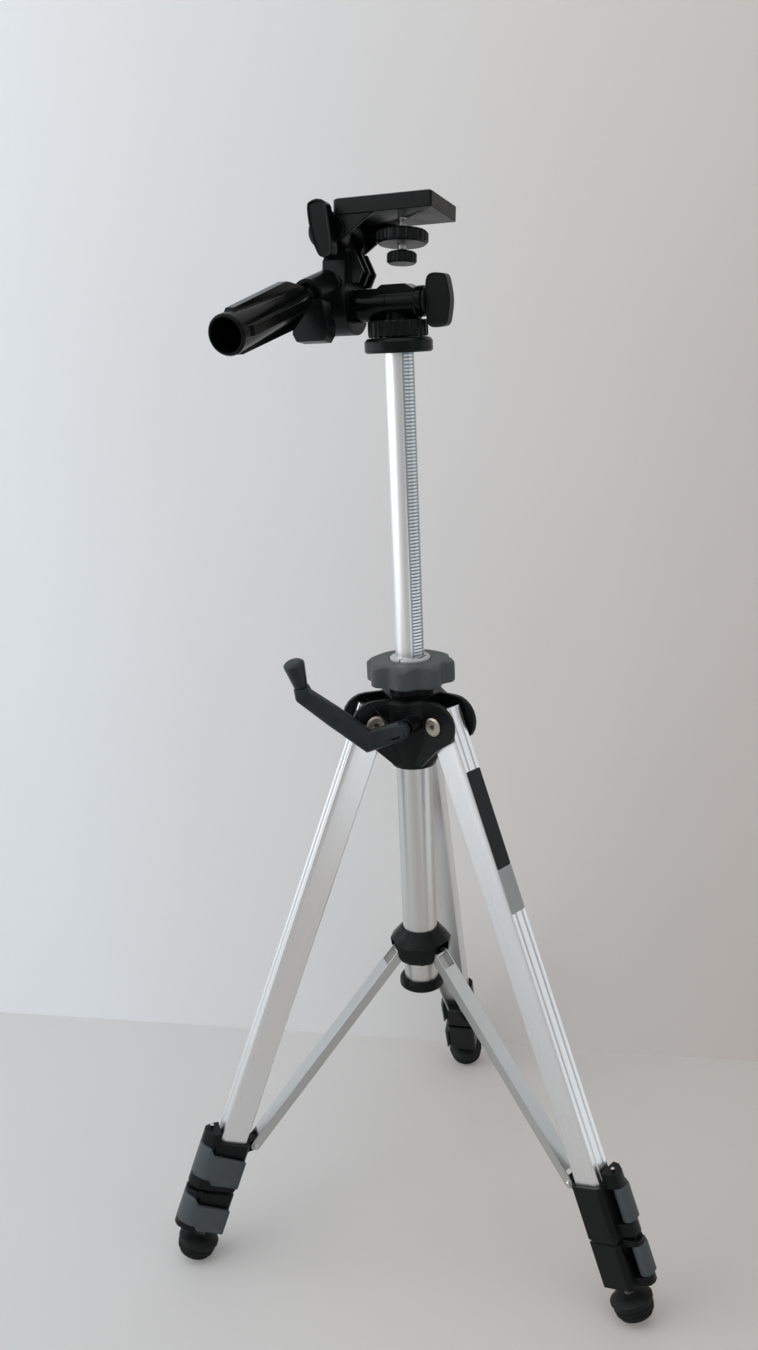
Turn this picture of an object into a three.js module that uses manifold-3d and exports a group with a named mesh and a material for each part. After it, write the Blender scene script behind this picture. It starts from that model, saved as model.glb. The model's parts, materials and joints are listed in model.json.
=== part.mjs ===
// A light aluminium photo tripod: three telescopic legs with wrap-round lever locks, braces on a
// sliding collar, a centre column raised by a rack and a hand crank, and a three-way pan head.
// Millimetres, +Z up. The crank and the pan handle point to the front, -Y.
import * as THREE from "three";
import { mergeVertices } from "three/addons/utils/BufferGeometryUtils.js";
import Module from "manifold-3d";

const wasm = await Module();
wasm.setup();

// ---------------------------------------------------------------- driving dimensions
const GAP = 0.3; // running clearance between pieces that touch
const ROUND = 24; // sides of a turned piece

// stance
const PIVOT_RADIUS = 34; // leg bolt, from the column axis
const PIVOT_HEIGHT = 446;
const FOOT_RADIUS = 205; // foot centre, from the column axis
const FOOT_BALL = 15.2; // radius of the rubber foot
const FOOT_DROP = 11.4; // from its centre to its tip
const FOOT_HEIGHT = 12; // height of its centre over the floor
const LEG_ANGLES = { front_left: 210, front_right: 330, rear: 90 };

// leg sections, seen along the leg: depth is radial, width is tangential
const LEG_WIDTH = 20;
const LEG_BACK = 10.4; // from the leg line to the inner face
const LEG_FRONT = 11.5; // from the leg line to the outer face
const LEG_BEVEL = 4; // depth of the sloping corners beside the outer face
const LEG_BEVEL_IN = 1.8;
const LEG_WALL = 1.5;
const LEG_GROOVE = 0.7; // depth of the two grooves in the outer face
const SECTION_STEP = 0.5; // play between one section and the next
const UPPER_TOP = -10; // ends of the sections, measured down the leg from its bolt
const UPPER_END = 392;
const MIDDLE_TOP = 45;
const MIDDLE_END = 440;
const LOWER_TOP = 70;
const LOWER_END = 452;

// leg locks
const LOCK_WALL = 3;
const UPPER_LOCK = { top: 366, bottom: 408.5, ear: 9, lever: 27 };
const LOWER_LOCK = { top: 411.5, bottom: 447, ear: 2.2, lever: 24 };
const LEVER_PIN = { depth: 20.5, width: 2, radius: 1.6 };
const LEVER_THICK = 2.6;
const LEVER_BULGE = 1.2; // the lever's crown along the leg
const LEVER_REACH = 13; // how far the free end goes past the leg line
const KNUCKLE_RADIUS = 4.6;
const LEVER_DROP = 4.5; // from the top of the lock to the top of the lever
const BRACE_LUG = { along: 368, depth: -20, thick: 10, radius: 4.6 };

// foot
const SPIKE_RADIUS = 3.6;
const FOOT_LIP = 16.7;

// shoulder
const EAR_RADIUS = 18.5;
const EAR_THICK = 4;
const EAR_PLAY = 0.5;
const HUB_RADIUS = 28;
const SHOULDER_TOP = PIVOT_HEIGHT + 18.5;
const SHOULDER_BOTTOM = PIVOT_HEIGHT - 40;
const SHOULDER_NECK = { radius: 17, top: SHOULDER_TOP + 17 };
const BOLT = { radius: 3, head: 7.4, headThick: 2.2 };

// centre tube, collars and column
const SLEEVE = { radius: 14, wall: 1, top: PIVOT_HEIGHT - 9, bottom: 213.5 };
const SLEEVE_CAP = { radius: 18.2, height: 8, lap: 6 };
const BRACE_COLLAR = { bottom: 238.5, top: 264.5, neck: 15.6, flange: 24 };
const BRACE_PIN = { radius: 20, height: 244, pin: 2 };
const BRACE_WIDTH = 14;
const BRACE_DEPTH = 8;
const BRACE_WALL = 1.3;
const LOCK_COLLAR = {
  bottom: SHOULDER_TOP + 9.5, top: SHOULDER_TOP + 27, radius: 34.5, lobes: 8, lobe: 2.3,
};
const COLLET = { radius: 15.6, bottom: SHOULDER_TOP + 18, top: SHOULDER_TOP + 29 };
const COLUMN_RADIUS = 10.2;
const COLUMN_WALL = 1.7;
const COLUMN_TOP = 722;
const COLUMN_BOTTOM = SLEEVE.top;
const RACK = { module: 0.8, width: 10, pitchLine: 10.7, angle: -20, top: COLUMN_TOP - 6 };
const PINION_TEETH = 10;

// crank
const SHAFT_RADIUS = 4.8;
const SHAFT_BOSS = 6.6;
const CRANK_HEIGHT = PIVOT_HEIGHT + 1;
const CRANK_HUB = { near: 37.5, far: 46, radius: 7.2 };
const CRANK_BEND = [-22, -8.5, 50.5]; // across, up and out from the shaft
const CRANK_ELBOW = [-55, 32.5, 84];
const CRANK_TIP = [-57, 58, 91];
const CRANK_KNOB = { narrow: 5.2, wide: 7.8, length: 21 };

// head, in its own frame: X along the tilt axis, -Y along the handle, Z up from the column top
const HEAD_TURN = -10.5;
const HEAD_TILT = 8; // the platform leans away from the handle
const HEAD_BASE = COLUMN_TOP - 2;
const FLANGE = { radius: 24.5, height: 8, skirt: 2.6 };
const PAN_SPINDLE = { radius: 6, top: 33 };
const PAN_RING = { radius: 21.6, height: 11.2, ribs: 24 };
const AXIS_HEIGHT = 31.5; // tilt axis over the column top
const BARREL = { radius: 11.8, start: -31, end: 17.2 };
const PAN_DOME = { radius: 17.5, rise: 12.6, slot: 1 };
const PAN_KNOB = { start: 21, length: 20.5, half: 18.7, thick: 9, boss: 10.4 };
// the tilting head, measured from the tilt axis
const TILT_DRUM = { start: -31.4, end: -56, radius: 21 };
const TILT_PIN = { radius: 6, end: -45 };
const TILT_ARM = { deep: 18.5, high: 33, narrow: 11, left: -50 };
const SIDE_AXIS = { x: -44, z: 47, eye: 7, pin: 3 };
const HANDLE_LINE = { x: -48, z: 17, slope: 20.6 };
const SOCKET = { radius: 11.4, near: 6, far: 48, depth: 36, cup: 8.8, cupDepth: 12 };
const CLAMP_TAB = { half: 13.5, low: -30.5, near: -46, far: -33 };
const HANDLE = { rod: 4, start: 14, end: 82 };
const GRIP = {
  start: 57, end: 164, narrow: 8.6, wide: 13, bore: 10.8, depth: 72,
  ribs: 4, rib: 6.6, ribLow: 14.4, ribHigh: 15.8,
};
const PLATFORM = { left: -38, right: 35.5, near: -28, far: 21, base: 56, thick: 10.5 };
const PLATFORM_EAR = { radius: 13, near: -27, far: 20 };
const PAD = { thick: 1.6, inset: 2, rise: 0.8 };
const SCREW = { x: 4.6, shaft: 3.1, knob: 10.5, knobBase: 25.2, knobThick: 8, tip: 67 };
const LOCK_RING = { radius: 18.5, base: 38.3, thick: 9, ribs: 20 };
const SIDE_KNOB = { boss: 6.4, bossLength: 4.5, wide: 14, tall: 37, thick: 9 };

// ---------------------------------------------------------------- colours
const FINISHES = {
  aluminium: { color: 0xb9bdc0, roughness: 0.38, metalness: 0.9 },
  darkPlastic: { color: 0x15191b, roughness: 0.48, metalness: 0 },
  leverPlastic: { color: 0x4a5153, roughness: 0.55, metalness: 0 },
  collarPlastic: { color: 0x55564f, roughness: 0.5, metalness: 0 },
  glossPlastic: { color: 0x0f1213, roughness: 0.22, metalness: 0 },
  rubber: { color: 0x1a1a1a, roughness: 0.8, metalness: 0 },
  nickel: { color: 0xb9a98c, roughness: 0.3, metalness: 1 },
  steel: { color: 0xa4a8ab, roughness: 0.3, metalness: 1 },
  collet: { color: 0xd9dcda, roughness: 0.4, metalness: 0 },
};

// ---------------------------------------------------------------- tools for solids
const radians = THREE.MathUtils.degToRad;

function solidOf(geometry) {
  const bare = new THREE.BufferGeometry();
  const flat = geometry.index ? geometry.toNonIndexed() : geometry;
  bare.setAttribute("position", flat.getAttribute("position"));
  const merged = mergeVertices(bare, 1e-4);
  const corners = merged.index.array;
  const faces = [];
  for (let i = 0; i < corners.length; i += 3) {
    const [a, b, c] = corners.slice(i, i + 3);
    if (a !== b && b !== c && c !== a) faces.push(a, b, c);
  }
  const mesh = new wasm.Mesh({
    numProp: 3,
    vertProperties: merged.attributes.position.array,
    triVerts: new Uint32Array(faces),
  });
  return new wasm.Manifold(mesh);
}

function geometryOf(solid) {
  const mesh = solid.getMesh();
  const geometry = new THREE.BufferGeometry();
  geometry.setAttribute("position", new THREE.BufferAttribute(mesh.vertProperties, 3));
  geometry.setIndex(new THREE.BufferAttribute(mesh.triVerts, 1));
  geometry.computeVertexNormals();
  return geometry;
}

function join(...geometries) {
  return geometryOf(geometries.map(solidOf).reduce((all, next) => all.add(next)));
}

function cut(body, ...tools) {
  return geometryOf(tools.map(solidOf).reduce((all, next) => all.subtract(next), solidOf(body)));
}

function common(first, second) {
  return geometryOf(solidOf(first).intersect(solidOf(second)));
}

function shapeOf(points) {
  return new THREE.Shape(points.map(([x, y]) => new THREE.Vector2(x, y)));
}

// A prism of an outline in XY, from z = low to z = high.
function prism(points, low, high) {
  const shape = points instanceof THREE.Shape ? points : shapeOf(points);
  const geometry = new THREE.ExtrudeGeometry(shape, {
    depth: high - low,
    bevelEnabled: false,
    curveSegments: 6,
  });
  return geometry.translate(0, 0, low);
}

// An outline drawn as [x, z], made thick along Y from y = low to y = high.
function slabXZ(points, low, high) {
  return prism(points, -high, -low).rotateX(Math.PI / 2);
}

// An outline drawn as [y, z], made thick along X from x = low to x = high.
function slabYZ(points, low, high) {
  return prism(points, low, high).rotateX(Math.PI / 2).rotateZ(Math.PI / 2);
}

function box(x0, x1, y0, y1, z0, z1) {
  const geometry = new THREE.BoxGeometry(x1 - x0, y1 - y0, z1 - z0);
  return geometry.translate((x0 + x1) / 2, (y0 + y1) / 2, (z0 + z1) / 2);
}

// A turned piece about Z: the profile lists [radius, z] from the bottom of the axis to its top.
function turned(profile, sides = ROUND) {
  const points = profile.map(([r, z]) => new THREE.Vector2(r, z));
  return new THREE.LatheGeometry(points, sides).rotateX(Math.PI / 2);
}

function rod(radius, low, high, sides = ROUND) {
  return turned([[0, low], [radius, low], [radius, high], [0, high]], sides);
}

function ring(outer, inner, low, high, sides = ROUND) {
  const profile = [[inner, low], [outer, low], [outer, high], [inner, high], [inner, low]];
  return turned(profile, sides);
}

// Moves a piece made along Z so that its axis runs from one point towards another.
function arc(cx, cy, radius, start, end, steps) {
  const points = [];
  for (let i = 0; i <= steps; i += 1) {
    const angle = radians(start + ((end - start) * i) / steps);
    points.push([cx + radius * Math.cos(angle), cy + radius * Math.sin(angle)]);
  }
  return points;
}

// A rounded bar through stations { at, half: [a, b] } with its flat sides along the given normal.
function sweptBar(stations, normal, corners = 8) {
  const rings = stations.map(({ at, half, way }) => {
    const direction = new THREE.Vector3(...way).normalize();
    const across = new THREE.Vector3(...normal).cross(direction).normalize();
    const thick = direction.clone().cross(across).normalize();
    const points = [];
    for (let i = 0; i < corners; i += 1) {
      const angle = ((i + 0.5) / corners) * Math.PI * 2;
      const u = Math.sign(Math.cos(angle)) * Math.abs(Math.cos(angle)) ** 0.6 * half[0];
      const v = Math.sign(Math.sin(angle)) * Math.abs(Math.sin(angle)) ** 0.6 * half[1];
      points.push(new THREE.Vector3(...at).addScaledVector(across, u).addScaledVector(thick, v));
    }
    return points;
  });
  return skin(rings);
}

// A closed skin over rings of points; each ring has as many points, the ends are flat fans.
function skin(rings) {
  const count = rings[0].length;
  const vertices = rings.flat().flatMap((p) => [p.x, p.y, p.z]);
  const faces = [];
  for (let r = 0; r + 1 < rings.length; r += 1) {
    for (let i = 0; i < count; i += 1) {
      const a = r * count + i;
      const b = r * count + ((i + 1) % count);
      faces.push(a, b, b + count, a, b + count, a + count);
    }
  }
  const last = (rings.length - 1) * count;
  for (let i = 1; i + 1 < count; i += 1) {
    faces.push(0, i + 1, i);
    faces.push(last, last + i, last + i + 1);
  }
  const geometry = new THREE.BufferGeometry();
  geometry.setAttribute("position", new THREE.Float32BufferAttribute(vertices, 3));
  geometry.setIndex(faces);
  return geometry;
}

function piece(parent, name, geometry, finish) {
  const material = new THREE.MeshStandardMaterial(FINISHES[finish]);
  const mesh = new THREE.Mesh(geometryOf(solidOf(geometry)), material);
  mesh.name = name;
  parent.add(mesh);
  return mesh;
}

function group(parent, name, x = 0, y = 0, z = 0) {
  const made = new THREE.Group();
  made.name = name;
  made.position.set(x, y, z);
  parent.add(made);
  return made;
}

// ---------------------------------------------------------------- leg sections
// In a leg's frame X points outwards, Y along the tangent, and -Z down the leg from its bolt.
const LEG_SPREAD = Math.atan2(FOOT_RADIUS - PIVOT_RADIUS, PIVOT_HEIGHT - FOOT_HEIGHT);
const LEG_LENGTH = Math.hypot(FOOT_RADIUS - PIVOT_RADIUS, PIVOT_HEIGHT - FOOT_HEIGHT);

function sectionOutline(inset, grooved) {
  const half = LEG_WIDTH / 2 - inset;
  const back = -(LEG_BACK - inset);
  const front = LEG_FRONT - inset;
  const shoulder = LEG_FRONT - LEG_BEVEL - inset / 2;
  const face = half - LEG_BEVEL_IN;
  const groove = grooved ? LEG_GROOVE : 0;
  const grooves = [-1, 1].flatMap((side) => {
    const y = side * face * 0.45;
    return [[front, y - 0.8], [front - groove, y - 0.4], [front - groove, y + 0.4], [front, y + 0.8]];
  });
  return [
    [back, -half + 1], [back + 1, -half], [shoulder, -half], [front, -face],
    ...(grooved ? grooves : []),
    [front, face], [shoulder, half], [back + 1, half], [back, half - 1],
  ];
}

function sectionTube(inset, top, end, grooved) {
  const outer = prism(sectionOutline(inset, grooved), -end, -top);
  const inner = prism(sectionOutline(inset + LEG_WALL, false), -end - 1, -top + 1);
  return cut(outer, inner);
}

// ---------------------------------------------------------------- leg locks
function leverOutline() {
  const { depth, width } = LEVER_PIN;
  const side = LEG_WIDTH / 2 + LOCK_WALL + GAP + LEVER_THICK + LEVER_BULGE;
  return [
    [depth, width - KNUCKLE_RADIUS], [depth + 4, width - 3.4], [depth + 5.6, width + 1],
    [depth + 4.4, width + 8], [depth - 1, side - 2.6], [depth - 5, side],
    [-LEVER_REACH + 4, side], [-LEVER_REACH, side - 2],
  ];
}

// A wrap-round lever: its knuckle is on the pin, its free end lies past the leg's inner side.
function lockLever(lock) {
  const top = lock.top + LEVER_DROP;
  const { depth, width, radius } = LEVER_PIN;
  const inside = LEG_WIDTH / 2 + LOCK_WALL + GAP;
  const throat = LEG_FRONT + LOCK_WALL + GAP;
  const outline = [
    ...leverOutline(), [-LEVER_REACH, inside + 1.6], [-LEVER_REACH + 3, inside],
    [throat, inside], [throat, width + 3], [depth - KNUCKLE_RADIUS, width],
    [depth - 3.2, width - 3.2],
  ];
  const low = -(top + lock.lever);
  const high = -top;
  const middle = (low + high) / 2;
  const band = prism(outline, low - 12, high + 2);
  const corner = depth - 6;
  const frontView = [
    [depth + 8, high], [depth + 8, low], [corner - 1.5, low], [corner - 5, low - 5],
    [-LEVER_REACH - 1, low - 6], [-LEVER_REACH - 1, high - 8], [corner, high - 5], [depth - 2, high],
  ];
  const side = inside + LEVER_THICK;
  const crown = [
    [-20, high + 1], [side, high + 1], [side + LEVER_BULGE, middle + 5],
    [side + LEVER_BULGE, middle - 9], [side - 1, low - 7], [-20, low - 7],
  ];
  const shaped = common(common(band, slabXZ(frontView, -30, 40)), slabYZ(crown, -30, 40));
  return cut(shaped, rod(radius + GAP, low - 12, high + 2, 12).translate(depth, width, 0));
}

function lockEar(low, high, slanted) {
  const { depth, width } = LEVER_PIN;
  const wall = LEG_FRONT + LOCK_WALL - 1;
  const outline = [
    [wall, width - 7], [depth, width - 5.4], [depth + 4, width - 3.4], [depth + 5, width + 1],
    [depth + 3.6, width + 6], [depth - 2, LEG_WIDTH / 2 + LOCK_WALL], [wall, LEG_WIDTH / 2 + LOCK_WALL],
  ];
  const ear = prism(outline, low, high);
  if (!slanted) return ear;
  const reach = depth + 9;
  const view = [[wall - 1, low], [reach, low], [reach, high - 4], [wall - 1, high]];
  return common(ear, slabXZ(view, -30, 30));
}

function lockBody(lock, tubeInset, throughInset, seatDepth) {
  const outline = (grow) => {
    const back = -LEG_BACK - grow;
    const front = LEG_FRONT + grow;
    const half = LEG_WIDTH / 2 + grow;
    return [
      [back, -half + 2], [back + 2, -half], [front - 3, -half], [front, -half + 3],
      [front, half], [back + 2, half], [back, half - 2],
    ];
  };
  const { top, bottom, ear } = lock;
  const shell = prism(outline(LOCK_WALL), -bottom, -top);
  const rim = [-LEG_BACK - LOCK_WALL - 1, LEG_FRONT + LOCK_WALL + 1];
  const bottomTrim = [[rim[0], -bottom - 1], [rim[0], -bottom + 2], [rim[0] + 3, -bottom - 1]];
  const leverTop = top + LEVER_DROP;
  const pin = LEVER_PIN;
  const pinRod = rod(pin.radius, -bottom + 1, -top + ear + 0.7, 12);
  const body = join(
    shell,
    lockEar(-leverTop + GAP, -top + ear, true),
    lockEar(-bottom + 0.5, -leverTop - lock.lever - GAP, false),
    pinRod.translate(pin.depth, pin.width, 0),
  );
  const seat = prism(sectionOutline(tubeInset - GAP, false), -seatDepth, -top + 1);
  const through = prism(sectionOutline(throughInset - GAP, false), -bottom - 1, -top + 1);
  return cut(body, seat, through, slabXZ(bottomTrim, -40, 40));
}

// The lug that the brace hangs on stands on the inner side of the upper lock.
function braceLug() {
  const { along: s, depth, thick, radius } = BRACE_LUG;
  const wall = -LEG_BACK - LOCK_WALL + 0.6;
  const outline = [
    [wall, -UPPER_LOCK.top - 12], ...arc(depth, -s, radius, 250, 90, 8),
    [wall, -UPPER_LOCK.top - 0.4],
  ];
  return slabXZ(outline, -thick / 2, thick / 2);
}

// ---------------------------------------------------------------- legs
const middleInset = LEG_WALL + SECTION_STEP;
const lowerInset = 2 * middleInset;
const BRACE_FROM = legPoint(BRACE_LUG.along, BRACE_LUG.depth);

// Radius and height of a point given by its way down the leg and its depth.
function legPoint(s, depth) {
  const r = PIVOT_RADIUS + s * Math.sin(LEG_SPREAD) + depth * Math.cos(LEG_SPREAD);
  const z = PIVOT_HEIGHT - s * Math.cos(LEG_SPREAD) + depth * Math.sin(LEG_SPREAD);
  return { r, z };
}

function upperLock() {
  const hole = rod(BRACE_PIN.pin + GAP * 1.4, -10, 10, 12).rotateX(Math.PI / 2);
  hole.translate(BRACE_LUG.depth, 0, -BRACE_LUG.along);
  const body = lockBody(UPPER_LOCK, 0, middleInset, UPPER_END + GAP);
  return cut(join(body, braceLug()), hole);
}

function lowerLock() {
  return lockBody(LOWER_LOCK, middleInset, lowerInset, MIDDLE_END + GAP);
}

function footRubber() {
  const tip = arc(0, 0, 1, 270, 360, 4).map(([x, z]) => [x * FOOT_BALL, z * FOOT_DROP]);
  const neck = SPIKE_RADIUS + GAP;
  const profile = [
    [0, -FOOT_DROP], ...tip.slice(1), [FOOT_BALL * 0.97, 3.2], [FOOT_LIP, 4.2], [FOOT_LIP, 6.6],
    [FOOT_BALL * 0.82, 9.2], [FOOT_BALL * 0.5, 10.4], [neck, 10.4], [neck, -2], [0, -2],
  ];
  return turned(profile, 18).translate(0, 0, -LEG_LENGTH);
}

function spikeStud() {
  const plug = prism(sectionOutline(lowerInset + LEG_WALL + GAP, false), -LOWER_END, -LOWER_END + 12);
  const stud = rod(SPIKE_RADIUS, -LEG_LENGTH - 2 + GAP, -LOWER_END + 2, 16);
  return join(plug, stud);
}

function pivotBolt() {
  const inner = LEG_WIDTH / 2 + EAR_PLAY + EAR_THICK;
  const { radius, head, headThick } = BOLT;
  const bolt = turned([
    [0, -inner - headThick], [head - 1.4, -inner - headThick], [head, -inner - headThick + 1],
    [head, -inner - GAP], [radius, -inner - GAP], [radius, inner + GAP], [head, inner + GAP],
    [head, inner + headThick - 1], [head - 1.4, inner + headThick], [0, inner + headThick],
  ], 14);
  const key = 2.2;
  const square = (y) => box(-key, key, -key, key, y - 0.9, y + 0.9);
  const socketed = cut(bolt, square(inner + headThick), square(-inner - headThick));
  return socketed.rotateX(Math.PI / 2);
}

// The bolt's hole through the leg section and through both ears of the shoulder.
function boltHole(reach) {
  return rod(BOLT.radius + GAP, -reach, reach, 10).rotateX(Math.PI / 2);
}

const legs = {};
function leg(root, side) {
  const spoke = group(root, `${side}_spoke`);
  spoke.rotation.z = radians(LEG_ANGLES[side]);
  const pivot = group(spoke, `${side}_leg_pivot`, PIVOT_RADIUS, 0, PIVOT_HEIGHT);
  pivot.rotation.y = -LEG_SPREAD;
  const upper = cut(sectionTube(0, UPPER_TOP, UPPER_END, true), boltHole(LEG_WIDTH));
  piece(pivot, `${side}_upper_tube`, upper, "aluminium");
  piece(pivot, `${side}_upper_lock`, upperLock(), "darkPlastic");
  piece(pivot, `${side}_upper_lever`, lockLever(UPPER_LOCK), "leverPlastic");
  const middle = sectionTube(middleInset, MIDDLE_TOP, MIDDLE_END, false);
  piece(pivot, `${side}_middle_tube`, middle, "aluminium");
  piece(pivot, `${side}_lower_lock`, lowerLock(), "darkPlastic");
  piece(pivot, `${side}_lower_lever`, lockLever(LOWER_LOCK), "leverPlastic");
  const lower = sectionTube(lowerInset, LOWER_TOP, LOWER_END, false);
  piece(pivot, `${side}_lower_tube`, lower, "aluminium");
  piece(pivot, `${side}_foot_stud`, spikeStud(), "steel");
  piece(pivot, `${side}_rubber_foot`, footRubber(), "rubber");
  const bolts = group(spoke, `${side}_bolt`, PIVOT_RADIUS, 0, PIVOT_HEIGHT);
  piece(bolts, `${side}_pivot_bolt`, pivotBolt(), "nickel");
  legs[side] = { spoke, pivot };
}

// ---------------------------------------------------------------- braces
const BRACE_RUN = Math.hypot(BRACE_FROM.r - BRACE_PIN.radius, BRACE_PIN.height - BRACE_FROM.z);
const BRACE_LEAN = Math.atan2(BRACE_FROM.r - BRACE_PIN.radius, BRACE_PIN.height - BRACE_FROM.z);

// A channel open to the inside; in its frame +Z runs up the brace from the leg's lug.
function braceChannel() {
  const half = BRACE_WIDTH / 2;
  const front = BRACE_DEPTH / 2;
  const inner = half - BRACE_WALL;
  const web = box(front - BRACE_WALL, front, -half + 0.2, half - 0.2, 9, BRACE_RUN - 12);
  const view = [...arc(0, 0, front, 180, 360, 6), ...arc(0, BRACE_RUN, front, 0, 180, 6)];
  const parts = [web, slabXZ(view, -half, -inner), slabXZ(view, inner, half)];
  for (const z of [0, BRACE_RUN]) {
    const pin = rod(BRACE_PIN.pin, -inner - 0.4, inner + 0.4, 10).rotateX(Math.PI / 2);
    parts.push(pin.translate(0, 0, z));
    for (const side of [-1, 1]) {
      const head = rod(BRACE_PIN.pin + 0.8, -0.7, 0.7, 10).rotateX(Math.PI / 2);
      parts.push(head.translate(0, side * half, z));
    }
  }
  return join(...parts);
}

function brace(side) {
  const { spoke } = legs[side];
  const frame = group(spoke, `${side}_brace_pivot`, BRACE_FROM.r, 0, BRACE_FROM.z);
  frame.rotation.y = -BRACE_LEAN;
  piece(frame, `${side}_brace`, braceChannel(), "aluminium");
}

// ---------------------------------------------------------------- centre
function spokes(make) {
  return Object.values(LEG_ANGLES).map((angle) => make().rotateZ(radians(angle)));
}

const PINION_RADIUS = (RACK.module * PINION_TEETH) / 2;
const SHAFT_OFFSET = RACK.pitchLine + PINION_RADIUS;

// Puts a piece made along Z on the crank shaft's line, with Z = 0 beside the column axis.
function onShaft(geometry) {
  geometry.rotateX(Math.PI / 2).translate(SHAFT_OFFSET, 0, CRANK_HEIGHT);
  return geometry.rotateZ(radians(RACK.angle));
}

function shoulderEar(low, high) {
  const lower = radians(-35);
  const tip = [PIVOT_RADIUS + EAR_RADIUS * Math.cos(lower), PIVOT_HEIGHT + EAR_RADIUS * Math.sin(lower)];
  const outline = [
    [12, SHOULDER_TOP], [12, SHOULDER_BOTTOM + 6], [SLEEVE.radius + 5, SHOULDER_BOTTOM + 4],
    [PIVOT_RADIUS + 2, PIVOT_HEIGHT - 19], tip,
    ...arc(PIVOT_RADIUS, PIVOT_HEIGHT, EAR_RADIUS, -18, 90, 7),
  ];
  return slabXZ(outline, low, high);
}

function shoulder() {
  const inner = LEG_WIDTH / 2 + EAR_PLAY;
  const outer = inner + EAR_THICK;
  const hub = turned([
    [0, SHOULDER_BOTTOM], [SLEEVE.radius + 3.2, SHOULDER_BOTTOM],
    [SLEEVE.radius + 4.4, SHOULDER_BOTTOM + 3], [HUB_RADIUS, PIVOT_HEIGHT - 14],
    [HUB_RADIUS, SHOULDER_TOP - 3], [HUB_RADIUS - 3, SHOULDER_TOP], [SHOULDER_NECK.radius, SHOULDER_TOP],
    [SHOULDER_NECK.radius, SHOULDER_NECK.top], [0, SHOULDER_NECK.top],
  ], 28);
  const ears = [-1, 1].flatMap((side) => {
    const [low, high] = side < 0 ? [-outer, -inner] : [inner, outer];
    return spokes(() => shoulderEar(low, high));
  });
  const boss = onShaft(rod(SHAFT_BOSS, 14, 33.5));
  const body = join(hub, ...ears, boss);
  const roomEnd = PIVOT_RADIUS + EAR_RADIUS + 17.5;
  const legRoom = spokes(() => {
    return box(SLEEVE.radius + 5.5, roomEnd, -inner, inner, SHOULDER_BOTTOM - 26, SHOULDER_TOP + 12);
  });
  const holes = spokes(() => boltHole(outer + 3).translate(PIVOT_RADIUS, 0, PIVOT_HEIGHT));
  const bore = SLEEVE.radius - SLEEVE.wall;
  const columnRoom = rod(bore, SHOULDER_BOTTOM - 2, SHOULDER_NECK.top + 2, 32);
  const sleeveSeat = rod(SLEEVE.radius + GAP, SHOULDER_BOTTOM - 2, SLEEVE.top + GAP, 32);
  const pinionRoom = onShaft(rod(PINION_RADIUS + RACK.module + 0.6, -6.5, 6.5, 20));
  const shaftRoom = onShaft(rod(SHAFT_RADIUS + GAP, 0, 40, 20));
  return cut(body, ...legRoom, ...holes, columnRoom, sleeveSeat, pinionRoom, shaftRoom);
}

function lockCollar() {
  const { bottom, top, radius, lobes, lobe } = LOCK_COLLAR;
  const count = lobes * 8;
  const outline = [];
  for (let i = 0; i < count; i += 1) {
    const angle = (i / count) * Math.PI * 2;
    const wave = Math.cos(lobes * angle);
    const r = radius - lobe * (1 - wave) ** 1.2;
    outline.push([r * Math.cos(angle), r * Math.sin(angle)]);
  }
  const dome = turned([
    [0, bottom], [radius - 1, bottom], [radius + 1, bottom + 2], [radius + 1, top - 4.2],
    [radius - 2.4, top - 1.6], [radius - 7, top], [0, top],
  ], 48);
  const body = common(prism(outline, bottom, top), dome);
  const neckRoom = rod(SHOULDER_NECK.radius + GAP, bottom - 1, COLLET.bottom - GAP, 32);
  return cut(body, neckRoom, rod(COLLET.radius + GAP, bottom, top + 1, 32));
}

// The nylon collet grips the column and clears its rack; saw cuts part it into fingers.
function collet() {
  const { radius, bottom, top } = COLLET;
  const body = turned([
    [0, bottom], [radius, bottom], [radius, top - 1.2], [radius - 1.2, top], [0, top],
  ], 32);
  const bore = rod(COLUMN_RADIUS + GAP, bottom - 1, top + 1, 32);
  const rackTop = RACK.pitchLine + RACK.module;
  const half = RACK.width / 2 + GAP;
  const rackRoom = box(0, rackTop + GAP, -half, half, bottom - 1, top + 1);
  const slits = [70, 160, 250].map((angle) => {
    const slit = box(0, radius + 1, -0.6, 0.6, bottom + 4, top + 1);
    return slit.rotateZ(radians(angle));
  });
  return cut(body, bore, rackRoom.rotateZ(radians(RACK.angle)), ...slits);
}

function sleeveCap() {
  const { radius, height, lap } = SLEEVE_CAP;
  const { bottom } = SLEEVE;
  const inner = SLEEVE.radius + GAP;
  return turned([
    [9, bottom - 2.6], [radius - 2, bottom - 2.6], [radius, bottom - 1], [radius, bottom + height - 4.5],
    [radius - 1, bottom + height - 2.6], [inner, bottom + lap], [inner, bottom - GAP], [9, bottom - GAP],
    [9, bottom - 2.6],
  ], 32);
}

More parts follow.
